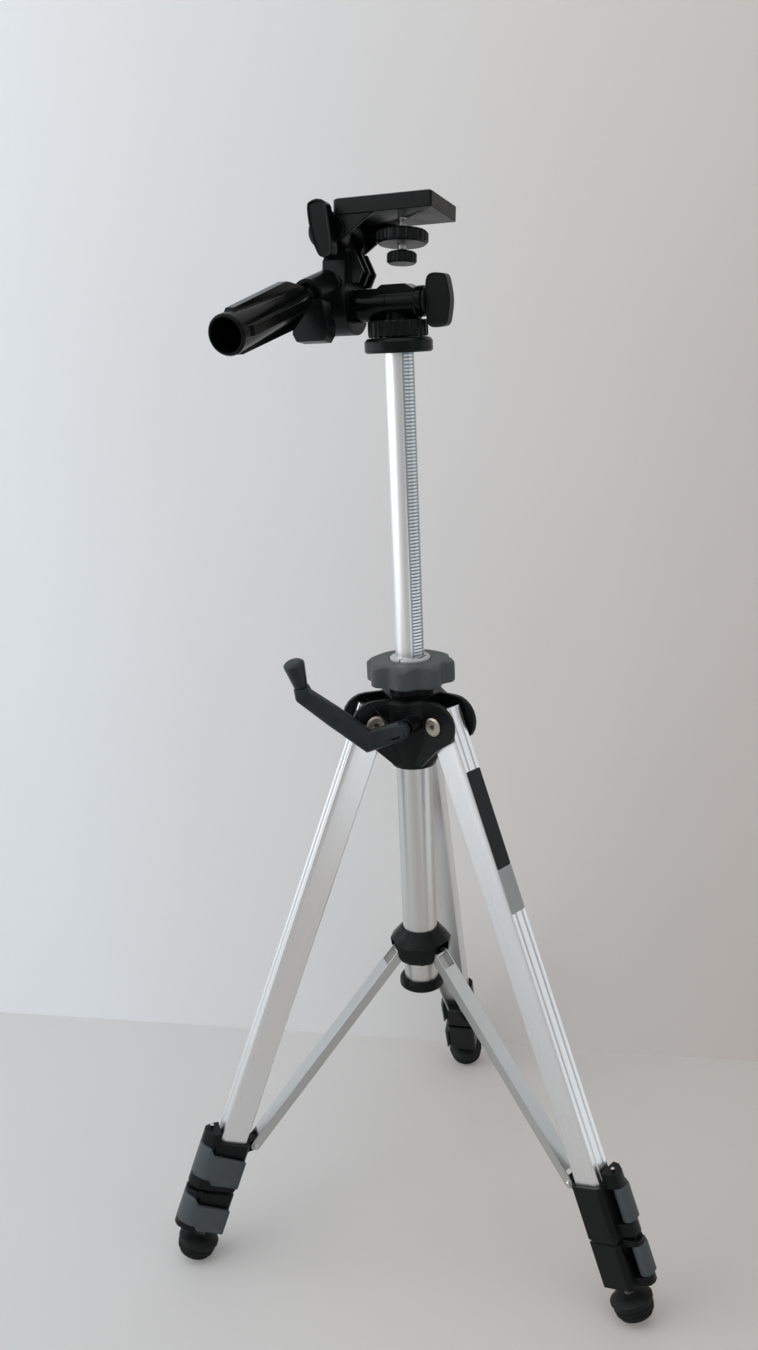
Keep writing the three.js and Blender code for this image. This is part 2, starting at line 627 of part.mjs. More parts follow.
// The brace collar slides on the sleeve; a slotted lug faces each leg.
function braceCollar() {
  const { bottom, top, neck, flange } = BRACE_COLLAR;
  const facets = [];
  for (let i = 0; i < 12; i += 1) {
    facets.push((i + 0.5) * 30);
  }
  const level = (z, r) => facets.map((a) => {
    return new THREE.Vector3(r * Math.cos(radians(a)), r * Math.sin(radians(a)), z);
  });
  const body = skin([
    level(bottom, flange - 2.6), level(bottom + 5, flange), level(bottom + 15, flange + 1.2),
    level(top - 1.5, neck + 1.4), level(top, neck),
  ]);
  const pin = BRACE_PIN;
  const wide = BRACE_WIDTH / 2 + 1.2;
  const thin = BRACE_WIDTH / 2 - BRACE_WALL - 0.8;
  const roof = pin.height + 10.5;
  const cheekRoom = [-1, 1].flatMap((side) => spokes(() => {
    const [y0, y1] = side < 0 ? [-wide, -thin] : [thin, wide];
    return box(12.8, 40, y0, y1, bottom - 1, roof);
  }));
  const slot = spokes(() => box(15.3, 40, -thin - 1, thin + 1, bottom - 1, roof));
  return cut(body, ...cheekRoom, ...slot, rod(SLEEVE.radius + GAP, bottom - 1, top + 1, 32));
}

// Straight-flanked rack teeth along Z; the outline is [distance from the axis, z].
function rackTeeth(low, high) {
  const pitch = Math.PI * RACK.module;
  const root = RACK.pitchLine - RACK.module * 1.1;
  const tip = RACK.pitchLine + RACK.module * 0.9;
  const flank = Math.tan(radians(20)) * RACK.module;
  const count = Math.floor((high - low) / pitch);
  const back = RACK.pitchLine - 2.1;
  const outline = [[back, low], [root, low]];
  for (let i = 0; i < count; i += 1) {
    const z = rackPhase + (Math.ceil((low - rackPhase) / pitch) + i) * pitch;
    if (z + pitch > high) break;
    outline.push([root, z + pitch / 4 - flank], [tip, z + pitch / 4 + flank]);
    outline.push([tip, z + (3 * pitch) / 4 - flank], [root, z + (3 * pitch) / 4 + flank]);
  }
  outline.push([root, high], [back, high]);
  return slabXZ(outline, -RACK.width / 2, RACK.width / 2);
}
// A gap between teeth stands at the height of the pinion's axis.
const rackPhase = CRANK_HEIGHT;

function column() {
  const round = rod(COLUMN_RADIUS, COLUMN_BOTTOM, COLUMN_TOP);
  const half = RACK.width / 2;
  const flat = box(RACK.pitchLine - RACK.module * 1.2, 14, -half, half, COLUMN_BOTTOM - 1, RACK.top);
  const tube = cut(round, flat.rotateZ(radians(RACK.angle)));
  const strip = rackTeeth(COLUMN_BOTTOM, RACK.top).rotateZ(radians(RACK.angle));
  const hollow = rod(COLUMN_RADIUS - COLUMN_WALL, COLUMN_BOTTOM - 1, COLUMN_TOP - 6);
  return cut(join(tube, strip), hollow);
}

// ---------------------------------------------------------------- crank
function pinionOutline() {
  const tip = PINION_RADIUS + RACK.module * 0.85;
  const root = PINION_RADIUS - RACK.module * 1.1;
  const turn = 360 / PINION_TEETH;
  const outline = [];
  for (let i = 0; i < PINION_TEETH; i += 1) {
    const centre = 180 + i * turn;
    const at = (r, offset) => {
      return [r * Math.cos(radians(centre + offset)), r * Math.sin(radians(centre + offset))];
    };
    outline.push(at(root, -turn * 0.3), at(PINION_RADIUS, -turn * 0.21), at(tip, -turn * 0.1));
    outline.push(at(tip, turn * 0.1), at(PINION_RADIUS, turn * 0.21), at(root, turn * 0.3));
  }
  return outline;
}

function crankShaft() {
  const pinion = prism(pinionOutline(), -6, 6);
  const shaft = turned([
    [0, 5.6], [3, 5.6], [SHAFT_RADIUS, 7.6], [SHAFT_RADIUS, CRANK_HUB.near - GAP],
    [0, CRANK_HUB.near - GAP],
  ], 20);
  return join(pinion, shaft);
}

// The arm stands off the shaft's end and flares outwards, clear of the leg below it.
function crankArm() {
  const [bx, by, bz] = CRANK_BEND;
  const [ex, ey, ez] = CRANK_ELBOW;
  const tip = new THREE.Vector3(...CRANK_TIP).sub(new THREE.Vector3(...CRANK_ELBOW)).normalize();
  const rise = new THREE.Vector3(ex - bx, ey - by, ez - bz).normalize();
  const bendWay = rise.clone().add(new THREE.Vector3(bx, by, 6).normalize()).normalize();
  const elbowWay = rise.clone().add(tip).normalize();
  const neck = new THREE.Vector3(...CRANK_ELBOW).addScaledVector(tip, 7);
  const middle = [bx * 0.45 + ex * 0.55, by * 0.45 + ey * 0.55, bz * 0.45 + ez * 0.55];
  const bar = sweptBar([
    { at: [3, 1.5, (CRANK_HUB.near + CRANK_HUB.far) / 2], half: [7, 4.2], way: [bx, by, 4] },
    { at: [bx * 0.45, by * 0.45, CRANK_HUB.far - 2.5], half: [7.8, 4.8], way: [bx, by, 8] },
    { at: [bx, by, bz], half: [8.8, 5.4], way: bendWay.toArray() },
    { at: middle, half: [7.8, 5.4], way: rise.toArray() },
    { at: [ex, ey, ez], half: [6.8, 5.8], way: elbowWay.toArray() },
    { at: neck.toArray(), half: [5.4, 5.4], way: tip.toArray() },
  ], [0.28, 0.1, 1], 12);
  const hub = turned([
    [0, CRANK_HUB.near], [CRANK_HUB.radius - 1, CRANK_HUB.near], [CRANK_HUB.radius, CRANK_HUB.near + 1],
    [CRANK_HUB.radius, CRANK_HUB.far - 2], [CRANK_HUB.radius - 2, CRANK_HUB.far], [0, CRANK_HUB.far],
  ], 20);
  return { geometry: join(bar, hub), neck: neck.toArray(), tip: tip.toArray() };
}

function crankKnob() {
  const { narrow, wide, length } = CRANK_KNOB;
  return turned([
    [0, 0], [narrow - 0.6, 0], [narrow, 0.8], [wide, length - 4], [wide, length - 2],
    [wide - 2, length - 0.4], [0, length],
  ], 24);
}

function crank(root) {
  const frame = group(root, "crank_axis");
  frame.rotation.z = radians(RACK.angle);
  const turn = group(frame, "crank_turn", SHAFT_OFFSET, 0, CRANK_HEIGHT);
  turn.rotation.x = Math.PI / 2;
  piece(turn, "crank_shaft", crankShaft(), "darkPlastic");
  const arm = crankArm();
  piece(turn, "crank_arm", arm.geometry, "darkPlastic");
  const way = new THREE.Vector3(...arm.tip);
  const seat = new THREE.Vector3(...arm.neck).addScaledVector(way, GAP);
  const knob = group(turn, "crank_knob_axis", ...seat.toArray());
  knob.quaternion.setFromUnitVectors(new THREE.Vector3(0, 0, 1), way);
  piece(knob, "crank_knob", crankKnob(), "collarPlastic");
}

// ---------------------------------------------------------------- head
function ribbed(radius, depth, ribs, low, high) {
  const outline = [];
  for (let i = 0; i < ribs; i += 1) {
    const turn = 360 / ribs;
    const rib = [[radius - depth, -0.32], [radius, -0.2], [radius, 0.2], [radius - depth, 0.32]];
    for (const [r, share] of rib) {
      const angle = radians((i + share) * turn);
      outline.push([r * Math.cos(angle), r * Math.sin(angle)]);
    }
  }
  return prism(outline, low, high);
}

function baseFlange() {
  const { radius, height, skirt } = FLANGE;
  const body = turned([
    [0, -skirt], [radius - 1.4, -skirt], [radius, 1.4 - skirt], [radius, height - 2.6],
    [radius - 1.8, height - 0.6],
    [radius - 5, height], [PAN_SPINDLE.radius, height], [PAN_SPINDLE.radius, PAN_SPINDLE.top],
    [0, PAN_SPINDLE.top],
  ], 36);
  return cut(body, rod(COLUMN_RADIUS + GAP, -skirt - 1, COLUMN_TOP - HEAD_BASE + GAP));
}

function panRing() {
  const low = FLANGE.height + GAP;
  const high = low + PAN_RING.height;
  const { radius, ribs } = PAN_RING;
  const rim = turned([
    [0, low], [radius - 1, low], [radius + 0.4, low + 1.4], [radius + 0.4, high - 1.4], [radius - 1, high],
    [0, high],
  ], 36);
  const ringBody = common(ribbed(radius, 1, ribs, low, high), rim);
  return cut(ringBody, rod(PAN_SPINDLE.radius + GAP, low - 1, high + 1));
}

// A turned piece along the tilt axis.
function acrossHead(geometry) {
  return geometry.rotateY(Math.PI / 2).translate(0, 0, AXIS_HEIGHT);
}

// The pan clamp: a dome over the pan spindle, split by a slot, and the barrel that the head tilts on.
function panBody() {
  const low = FLANGE.height + PAN_RING.height + 2 * GAP;
  const { radius, rise, slot } = PAN_DOME;
  const dome = turned([
    [0, low], [radius - 1, low], [radius, low + 1], [radius, AXIS_HEIGHT + rise - 6.6],
    [radius - 4.4, AXIS_HEIGHT + rise - 1.4], [radius - 9, AXIS_HEIGHT + rise], [0, AXIS_HEIGHT + rise],
  ], 28);
  const barrel = acrossHead(rod(BARREL.radius, BARREL.start, BARREL.end, 24));
  const washer = acrossHead(rod(PAN_KNOB.boss + 0.6, BARREL.end - 1, PAN_KNOB.start - GAP, 24));
  const pin = acrossHead(rod(TILT_PIN.radius, TILT_PIN.end, BARREL.start + 1, 20));
  const seam = box(-9 - slot / 2, -9 + slot / 2, -25, 25, AXIS_HEIGHT + 3, AXIS_HEIGHT + 30);
  const bore = rod(PAN_SPINDLE.radius + GAP, low - 1, PAN_SPINDLE.top + GAP);
  return cut(join(dome, barrel, washer, pin), seam, bore);
}

// A D-shaped wing on a round boss, turned on an axis along +X.
function panKnob() {
  const { length, half, thick, boss } = PAN_KNOB;
  const wing = [
    [2, -half * 0.6], [6, -half], [length - 4, -half * 0.94], [length, -half * 0.62],
    [length, half * 0.62], [length - 4, half * 0.94], [6, half], [2, half * 0.6],
  ];
  const dish = [
    [7, -half * 0.82], [length - 5, -half * 0.78], [length - 2.5, -half * 0.5],
    [length - 2.5, half * 0.5], [length - 5, half * 0.78], [7, half * 0.82],
  ];
  const plate = slabXZ(wing, -thick / 2, thick / 2);
  const dishes = [slabXZ(dish, -thick, -thick / 2 + 2), slabXZ(dish, thick / 2 - 2, thick)];
  const stem = rod(boss, 0, length * 0.5, 20).rotateY(Math.PI / 2);
  return join(cut(plate, ...dishes), stem);
}

// The handle's line in the tilting head; -Z of a piece made along it points to the grip.
function onHandle(geometry) {
  const slope = radians(HANDLE_LINE.slope);
  geometry.rotateX(-Math.PI / 2 + slope);
  return geometry.translate(HANDLE_LINE.x, 0, HANDLE_LINE.z);
}

function onSideAxis(geometry) {
  return geometry.rotateX(Math.PI / 2).translate(SIDE_AXIS.x, 0, SIDE_AXIS.z);
}

// The tilt body: a drum on the tilt axis, the handle socket and the ribbed arm up to the side hinge.
function tiltBody() {
  const { start, end, radius } = TILT_DRUM;
  const { deep, high, narrow } = TILT_ARM;
  const drum = rod(radius, end, start, 28).rotateY(Math.PI / 2);
  const block = slabYZ([
    [-deep, 0], [deep, 0], [deep, high - 5], [deep - 4, high], [-deep + 4, high], [-deep, high - 5],
  ], TILT_ARM.left, start - 1);
  const arm = slabXZ([
    [TILT_ARM.left, high - 4], [start - 3, high - 4], [SIDE_AXIS.x + SIDE_AXIS.eye, SIDE_AXIS.z],
    [SIDE_AXIS.x - SIDE_AXIS.eye, SIDE_AXIS.z],
  ], -narrow, narrow);
  const eye = onSideAxis(rod(SIDE_AXIS.eye, -narrow, narrow, 24));
  const ribs = [-narrow, 0, narrow].map((y) => slabXZ([
    [start - 3, 13], [start + 6, 13], [start + 10, 22], [start + 3, 36], [start - 3, high + 2],
  ], y - 1.5, y + 1.5));
  const shelf = box(start - 3, start + 8, -narrow, narrow, 21, 23);
  const socket = onHandle(rod(SOCKET.radius, -SOCKET.far, -SOCKET.near, 28));
  const { half, low, near, far } = CLAMP_TAB;
  const x = HANDLE_LINE.x + 2.5;
  const tab = slabXZ([
    [x - half, low + 12], [x - half, low + 5], [x - half + 3, low], [x + half - 3, low],
    [x + half, low + 5], [x + half, low + 12], [x + 9, -3], [x - 9, -3],
  ], near, far);
  const rivet = rod(4, -deep - 0.8, 0, 16).rotateX(-Math.PI / 2).translate(-40, 0, 12.6);
  const body = join(drum, block, arm, eye, ...ribs, shelf, socket, tab, rivet);
  const bore = onHandle(rod(HANDLE.rod + GAP, -SOCKET.far - 8, -SOCKET.far + SOCKET.depth, 20));
  const cup = onHandle(rod(SOCKET.cup, -SOCKET.far - 1, -SOCKET.far + SOCKET.cupDepth, 24));
  const pinRoom = rod(TILT_PIN.radius + GAP, TILT_PIN.end - GAP, start + 5, 20).rotateY(Math.PI / 2);
  const hinge = onSideAxis(rod(SIDE_AXIS.pin + GAP, -40, 40, 16));
  return cut(body, bore, cup, pinRoom, hinge);
}

function handleRod() {
  return onHandle(rod(HANDLE.rod, -HANDLE.end, -HANDLE.start, 20));
}

// The grip: a tapering tube, open at the user's end, with raised ribs along it.
function handleGrip() {
  const { start, end, narrow, wide, bore, depth, ribs, rib, ribLow, ribHigh } = GRIP;
  const tube = turned([
    [0, -end], [wide - 1, -end], [wide, -end + 1.5], [wide - 1.6, -(start + end) / 2],
    [narrow + 0.6, -start - 4], [narrow - 0.6, -start], [0, -start],
  ], 28);
  const outline = [
    [2, -end + 8], [wide - 0.8, -end + 8], [ribLow, -end + 11], [ribHigh, -start - 24],
    [ribHigh - 1, -start - 20], [narrow, -start - 2], [2, -start - 2],
  ];
  const bars = [];
  for (let i = 0; i < ribs; i += 1) {
    bars.push(slabXZ(outline, -rib / 2, rib / 2).rotateZ((i / ribs) * Math.PI * 2));
  }
  const hollow = rod(bore, -end - 1, -end + depth, 28);
  const seat = rod(HANDLE.rod + GAP, -HANDLE.end - GAP, -start + 1, 20);
  return onHandle(cut(join(tube, ...bars), hollow, seat));
}

// The platform carries the side hinge's two ears under its left end.
function platform() {
  const { left, right, near, far, base, thick } = PLATFORM;
  const top = base + thick;
  const plan = [
    [left, near + 2], [left + 2, near], [right - 1, near], [right, near + 1], [right, far - 1],
    [right - 1, far], [left + 2, far], [left, far - 2],
  ];
  const slab = prism(plan, base, top);
  const inner = TILT_ARM.narrow + GAP;
  const ears = [
    onSideAxis(rod(PLATFORM_EAR.radius, inner, -PLATFORM_EAR.near, 28)),
    onSideAxis(rod(PLATFORM_EAR.radius, -PLATFORM_EAR.far, -inner, 28)),
  ];
  const web = [
    [SIDE_AXIS.x, base + 2], [SIDE_AXIS.x + 7, SIDE_AXIS.z - 11], [-14, base - 4], [-3, base + 2],
  ];
  const webs = [
    slabXZ(web, PLATFORM_EAR.near, PLATFORM_EAR.near + 3),
    slabXZ(web, PLATFORM_EAR.far - 3, PLATFORM_EAR.far),
  ];
  const middle = (near + far) / 2;
  const padRoom = box(left + PAD.inset - GAP, right - PAD.inset + GAP, near + PAD.inset - GAP,
    far - PAD.inset + GAP, top - PAD.thick + PAD.rise - GAP, top + 1);
  const screwRoom = rod(SCREW.shaft + GAP, base - 1, top + 1, 20).translate(SCREW.x, middle, 0);
  const hinge = onSideAxis(rod(SIDE_AXIS.pin + GAP, -40, 40, 16));
  return cut(join(slab, ...ears, ...webs), padRoom, screwRoom, hinge);
}

function platformPad() {
  const { left, right, near, far, base, thick } = PLATFORM;
  const low = base + thick - PAD.thick + PAD.rise;
  const pad = box(left + PAD.inset, right - PAD.inset, near + PAD.inset, far - PAD.inset,
    low, low + PAD.thick);
  const middle = (near + far) / 2;
  return cut(pad, rod(SCREW.shaft + GAP, low - 1, low + 3, 20).translate(SCREW.x, middle, 0));
}

// The screw, with the knob that turns it, is made about its own axis.
function cameraScrew() {
  const { shaft, knob, knobBase, knobThick, tip } = SCREW;
  const head = common(ribbed(knob, 0.8, 18, knobBase, knobBase + knobThick), turned([
    [0, knobBase], [knob - 1.6, knobBase], [knob + 0.4, knobBase + 1.6],
    [knob + 0.4, knobBase + knobThick - 1.6], [knob - 1.6, knobBase + knobThick], [0, knobBase + knobThick],
  ], 28));
  return join(head, rod(shaft, knobBase + 2, tip, 20));
}

function lockRing() {
  const { radius, base, thick, ribs } = LOCK_RING;
  const body = common(ribbed(radius, 0.8, ribs, base, base + thick), turned([
    [0, base], [radius - 2, base], [radius + 0.4, base + 2], [radius + 0.4, base + thick - 2],
    [radius - 2, base + thick], [0, base + thick],
  ], 32));
  return cut(body, rod(SCREW.shaft + GAP, base - 1, base + thick + 1, 20));
}

// The side-tilt knob: an oval wing on a boss, with the hinge bolt behind it.
function sideKnob() {
  const { boss, bossLength, wide, tall, thick } = SIDE_KNOB;
  const start = -PLATFORM_EAR.near + GAP;
  const stem = rod(boss, start, start + bossLength + 2, 24);
  const oval = arc(0, 0, 1, 0, 330, 11).map(([x, y]) => {
    return [(x * wide) / 2 * (1 + 0.12 * Math.abs(y)), (y * tall) / 2];
  });
  const wing = prism(oval, start + bossLength, start + bossLength + thick);
  const bolt = rod(SIDE_AXIS.pin, -PLATFORM_EAR.far - 1.5, start + 1, 16);
  return join(stem, wing, bolt);
}

function head(root) {
  const mount = group(root, "head_mount", 0, 0, HEAD_BASE);
  mount.rotation.z = radians(HEAD_TURN);
  piece(mount, "head_base_flange", baseFlange(), "darkPlastic");
  const pan = group(mount, "pan_turn");
  piece(pan, "pan_ring", panRing(), "darkPlastic");
  piece(pan, "pan_body", panBody(), "glossPlastic");
  const knob = group(pan, "pan_knob_turn", PAN_KNOB.start, 0, AXIS_HEIGHT);
  piece(knob, "pan_lock_knob", panKnob(), "darkPlastic");
  const tilt = group(pan, "tilt_turn", 0, 0, AXIS_HEIGHT);
  tilt.rotation.x = radians(-HEAD_TILT);
  piece(tilt, "tilt_body", tiltBody(), "darkPlastic");
  piece(tilt, "handle_rod", handleRod(), "steel");
  piece(tilt, "handle_grip", handleGrip(), "glossPlastic");
  piece(tilt, "camera_platform", platform(), "darkPlastic");
  piece(tilt, "platform_pad", platformPad(), "rubber");
  const side = group(tilt, "side_axis", SIDE_AXIS.x, 0, SIDE_AXIS.z);
  side.rotation.x = Math.PI / 2;
  piece(side, "side_tilt_knob", sideKnob(), "glossPlastic");
  const screw = group(tilt, "screw_axis", SCREW.x, (PLATFORM.near + PLATFORM.far) / 2, 0);
  piece(screw, "camera_screw", cameraScrew(), "steel");
  piece(screw, "screw_lock_ring", lockRing(), "darkPlastic");
}

// ---------------------------------------------------------------- assembly
function tripod() {
  const root = new THREE.Group();
  root.name = "photo_tripod";
  const frame = group(root, "tripod_frame");
  piece(frame, "shoulder", shoulder(), "darkPlastic");
  const sleeve = ring(SLEEVE.radius, SLEEVE.radius - SLEEVE.wall, SLEEVE.bottom, SLEEVE.top, 32);
  piece(frame, "lower_sleeve", sleeve, "aluminium");
  piece(frame, "sleeve_cap", sleeveCap(), "darkPlastic");
  piece(frame, "brace_collar", braceCollar(), "darkPlastic");
  piece(frame, "column_lock_collar", lockCollar(), "collarPlastic");
  piece(frame, "column_collet", collet(), "collet");
  piece(frame, "centre_column", column(), "aluminium");
  crank(frame);
  for (const side of Object.keys(LEG_ANGLES)) {
    leg(frame, side);
    brace(side);
  }
  head(frame);
  root.updateMatrixWorld(true);
  const bounds = new THREE.Box3().setFromObject(root, true);
  const centre = bounds.getCenter(new THREE.Vector3());
  frame.position.set(-centre.x, -centre.y, -bounds.min.z);
  root.updateMatrixWorld(true);
  return root;
}

export default tripod();
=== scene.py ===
import json
from math import acos, atan2, cos, hypot, pi, radians, sin

import bmesh
import bpy
from mathutils import Euler, Matrix, Vector

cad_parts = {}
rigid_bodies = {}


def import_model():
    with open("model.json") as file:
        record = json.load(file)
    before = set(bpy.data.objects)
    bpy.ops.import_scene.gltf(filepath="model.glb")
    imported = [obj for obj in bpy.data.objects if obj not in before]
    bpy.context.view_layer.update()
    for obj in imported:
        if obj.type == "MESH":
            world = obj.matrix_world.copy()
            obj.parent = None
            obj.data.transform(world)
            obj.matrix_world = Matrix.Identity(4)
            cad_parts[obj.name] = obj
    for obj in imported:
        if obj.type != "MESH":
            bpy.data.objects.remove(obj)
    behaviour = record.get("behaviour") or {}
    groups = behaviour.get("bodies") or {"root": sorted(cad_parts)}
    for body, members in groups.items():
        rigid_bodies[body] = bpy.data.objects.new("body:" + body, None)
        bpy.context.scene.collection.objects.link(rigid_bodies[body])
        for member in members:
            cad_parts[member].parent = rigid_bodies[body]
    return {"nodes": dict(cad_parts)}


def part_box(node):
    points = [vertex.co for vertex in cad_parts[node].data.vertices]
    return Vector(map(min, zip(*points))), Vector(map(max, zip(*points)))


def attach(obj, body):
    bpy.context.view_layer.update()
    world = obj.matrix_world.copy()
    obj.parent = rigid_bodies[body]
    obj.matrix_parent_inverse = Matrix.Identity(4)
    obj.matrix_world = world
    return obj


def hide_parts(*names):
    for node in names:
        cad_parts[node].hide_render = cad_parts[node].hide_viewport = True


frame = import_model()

nodes = frame["nodes"]
for leftover in [o for o in bpy.data.objects if o.name in ("Cube", "Light", "Camera")]:
    bpy.data.objects.remove(leftover)
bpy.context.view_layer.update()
print("frame loaded:", len(nodes), "nodes")

# the tripod's own axes, in mm: the column's axis meets the floor at the origin
mm = Matrix.Scale(0.001, 4)
sleeveLow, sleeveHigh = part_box("lower_sleeve")
axisFoot = Vector(((sleeveLow.x + sleeveHigh.x) / 2, (sleeveLow.y + sleeveHigh.y) / 2, 0))
tripodAxes = Matrix.Translation(axisFoot) @ mm
legAngles = {"front_left": 210, "front_right": 330, "rear": 90}
stance = {"pivotRadius": 34, "pivotHeight": 446, "footRadius": 205, "footHeight": 12, "braceLean": 38.6}
legSpread = stance["footRadius"] - stance["pivotRadius"]
legDrop = stance["pivotHeight"] - stance["footHeight"]
legLean, legLength = atan2(legSpread, legDrop), hypot(legSpread, legDrop)


def turned(angle, axis):
    return Matrix.Rotation(radians(angle), 4, axis)


def moved(x, y, z):
    return Matrix.Translation((x, y, z))


def spokeAxes(side):
    return tripodAxes @ turned(legAngles[side], "Z")


def pivotAxes(side):
    return spokeAxes(side) @ moved(stance["pivotRadius"], 0, stance["pivotHeight"])


# local Z runs up the leg and local X out of its outer face, from the leg's pivot
def legAxes(side):
    return pivotAxes(side) @ Matrix.Rotation(-legLean, 4, "Y")


# the head turns on the column and its top part leans on the tilt axis, which is local X
head = {"height": 720, "turn": -10.5, "axisHeight": 31.5, "lean": -8}
headAxes = tripodAxes @ moved(0, 0, head["height"]) @ turned(head["turn"], "Z") @ moved(0, 0, head["axisHeight"])
tiltAxes = headAxes @ turned(head["lean"], "X")


# short ways to make nodes and trees
geometryKind, vectorKind, numberKind = "NodeSocketGeometry", "NodeSocketVector", "NodeSocketFloat"


def newTree(name, kind, inputs, outputs):
    tree = bpy.data.node_groups.new(name, kind)
    for label, socket, value in inputs:
        made = tree.interface.new_socket(label, in_out="INPUT", socket_type=socket)
        if value is not None:
            made.default_value = value
    for label, socket in outputs:
        tree.interface.new_socket(label, in_out="OUTPUT", socket_type=socket)
    return tree, tree.nodes.new("NodeGroupInput").outputs, tree.nodes.new("NodeGroupOutput").inputs


# settings come first, because some inputs depend on them; an input is another node's socket or a value
def addNode(tree, kind, inputs=None, **settings):
    made = tree.nodes.new(kind)
    for key, value in settings.items():
        setattr(made, key, value)
    for label, value in (inputs or {}).items():
        if isinstance(value, bpy.types.NodeSocket):
            tree.links.new(value, made.inputs[label])
        else:
            made.inputs[label].default_value = value
    return made


def mathNode(tree, operation, first, second=None, clamp=False):
    inputs = {0: first} if second is None else {0: first, 1: second}
    return addNode(tree, "ShaderNodeMath", inputs, operation=operation, use_clamp=clamp).outputs[0]


def mapRange(tree, value, low, high, outLow, outHigh):
    inputs = {"Value": value, "From Min": low, "From Max": high, "To Min": outLow, "To Max": outHigh}
    return addNode(tree, "ShaderNodeMapRange", inputs, clamp=True).outputs["Result"]


def noiseNode(tree, position, scale, detail, roughness=0.55):
    inputs = {"Vector": position, "Scale": scale, "Detail": detail, "Roughness": roughness}
    return addNode(tree, "ShaderNodeTexNoise", inputs).outputs["Fac"]


def mixColours(tree, factor, first, second):
    inputs = {"Factor": factor}
    for label, value in (("A", first), ("B", second)):
        inputs[label] = (*value, 1.0) if isinstance(value, tuple) else value
    return addNode(tree, "ShaderNodeMix", inputs, data_type="RGBA").outputs["Result"]


def splitVector(tree, vector):
    return addNode(tree, "ShaderNodeSeparateXYZ", {0: vector}).outputs


def joinVector(tree, x, y, z):
    return addNode(tree, "ShaderNodeCombineXYZ", {0: x, 1: y, 2: z}).outputs[0]


def objectPosition(tree):
    return addNode(tree, "ShaderNodeTexCoord").outputs["Object"]


# 1 for a ray from the camera, off gloss or through glass, and 0 for one that lights the object
def seenDirectly(tree, path):
    direct = mathNode(tree, "MAXIMUM", path["Is Camera Ray"], path["Is Glossy Ray"])
    return mathNode(tree, "MAXIMUM", direct, path["Is Transmission Ray"])


# shader groups: moulded grain, rubbed edges with a painted edge highlight, settled dust and drawn streaks
def buildMouldedGrain():
    inputs = [("Position", vectorKind, None), ("Grain Scale", numberKind, 2600), ("Mottle Scale", numberKind, 60)]
    outputs = [("Height", numberKind), ("Mottle", numberKind)]
    tree, given, result = newTree("mouldedGrain", "ShaderNodeTree", inputs, outputs)
    grain = noiseNode(tree, given["Position"], given["Grain Scale"], 2.0, 0.6)
    pits = addNode(tree, "ShaderNodeTexVoronoi", {"Vector": given["Position"], "Scale": given["Grain Scale"]})
    shallow = mathNode(tree, "MULTIPLY", pits.outputs["Distance"], 0.4)
    height = mathNode(tree, "ADD", mathNode(tree, "MULTIPLY", grain, 0.6), shallow)
    mottle = noiseNode(tree, given["Position"], given["Mottle Scale"], 4.0)
    tree.links.new(height, result["Height"])
    tree.links.new(mapRange(tree, mottle, 0.3, 0.7, 0.0, 1.0), result["Mottle"])
    return tree


# edges lightened partly by wear and partly by a painted highlight, where the surface bends, in patches
def buildEdgeWearAndSheen():
    inputs = [("Position", vectorKind, None), ("Width", numberKind, 0.0006), ("Amount", numberKind, 1.0)]
    tree, given, result = newTree("edgeWearAndSheen", "ShaderNodeTree", inputs, [("Edge", numberKind)])
    rounded = addNode(tree, "ShaderNodeBevel", {"Radius": given["Width"]}, samples=4).outputs["Normal"]
    flat = addNode(tree, "ShaderNodeNewGeometry").outputs["Normal"]
    alike = addNode(tree, "ShaderNodeVectorMath", {0: rounded, 1: flat}, operation="DOT_PRODUCT").outputs["Value"]
    bend = mathNode(tree, "SUBTRACT", 1.0, alike)
    patchy = mapRange(tree, noiseNode(tree, given["Position"], 220.0, 3.0), 0.35, 0.65, 0.25, 1.0)
    strength = mathNode(tree, "MULTIPLY", mapRange(tree, bend, 0.02, 0.22, 0.0, 1.0), patchy)
    tree.links.new(mathNode(tree, "MULTIPLY", strength, given["Amount"], clamp=True), result["Edge"])
    return tree


def buildSettledDust():
    inputs = [("Position", vectorKind, None), ("Amount", numberKind, 0.2)]
    tree, given, result = newTree("settledDust", "ShaderNodeTree", inputs, [("Dust", numberKind)])
    normal = splitVector(tree, addNode(tree, "ShaderNodeNewGeometry").outputs["Normal"])
    upward = mapRange(tree, normal["Z"], 0.2, 1.0, 0.0, 1.0)
    specks = mapRange(tree, noiseNode(tree, given["Position"], 900.0, 5.0, 0.7), 0.5, 0.72, 0.0, 1.0)
    film = mapRange(tree, noiseNode(tree, given["Position"], 45.0, 3.0), 0.35, 0.75, 0.15, 0.6)
    cover = mathNode(tree, "MULTIPLY", mathNode(tree, "ADD", specks, film), upward)
    tree.links.new(mathNode(tree, "MULTIPLY", cover, given["Amount"], clamp=True), result["Dust"])
    return tree


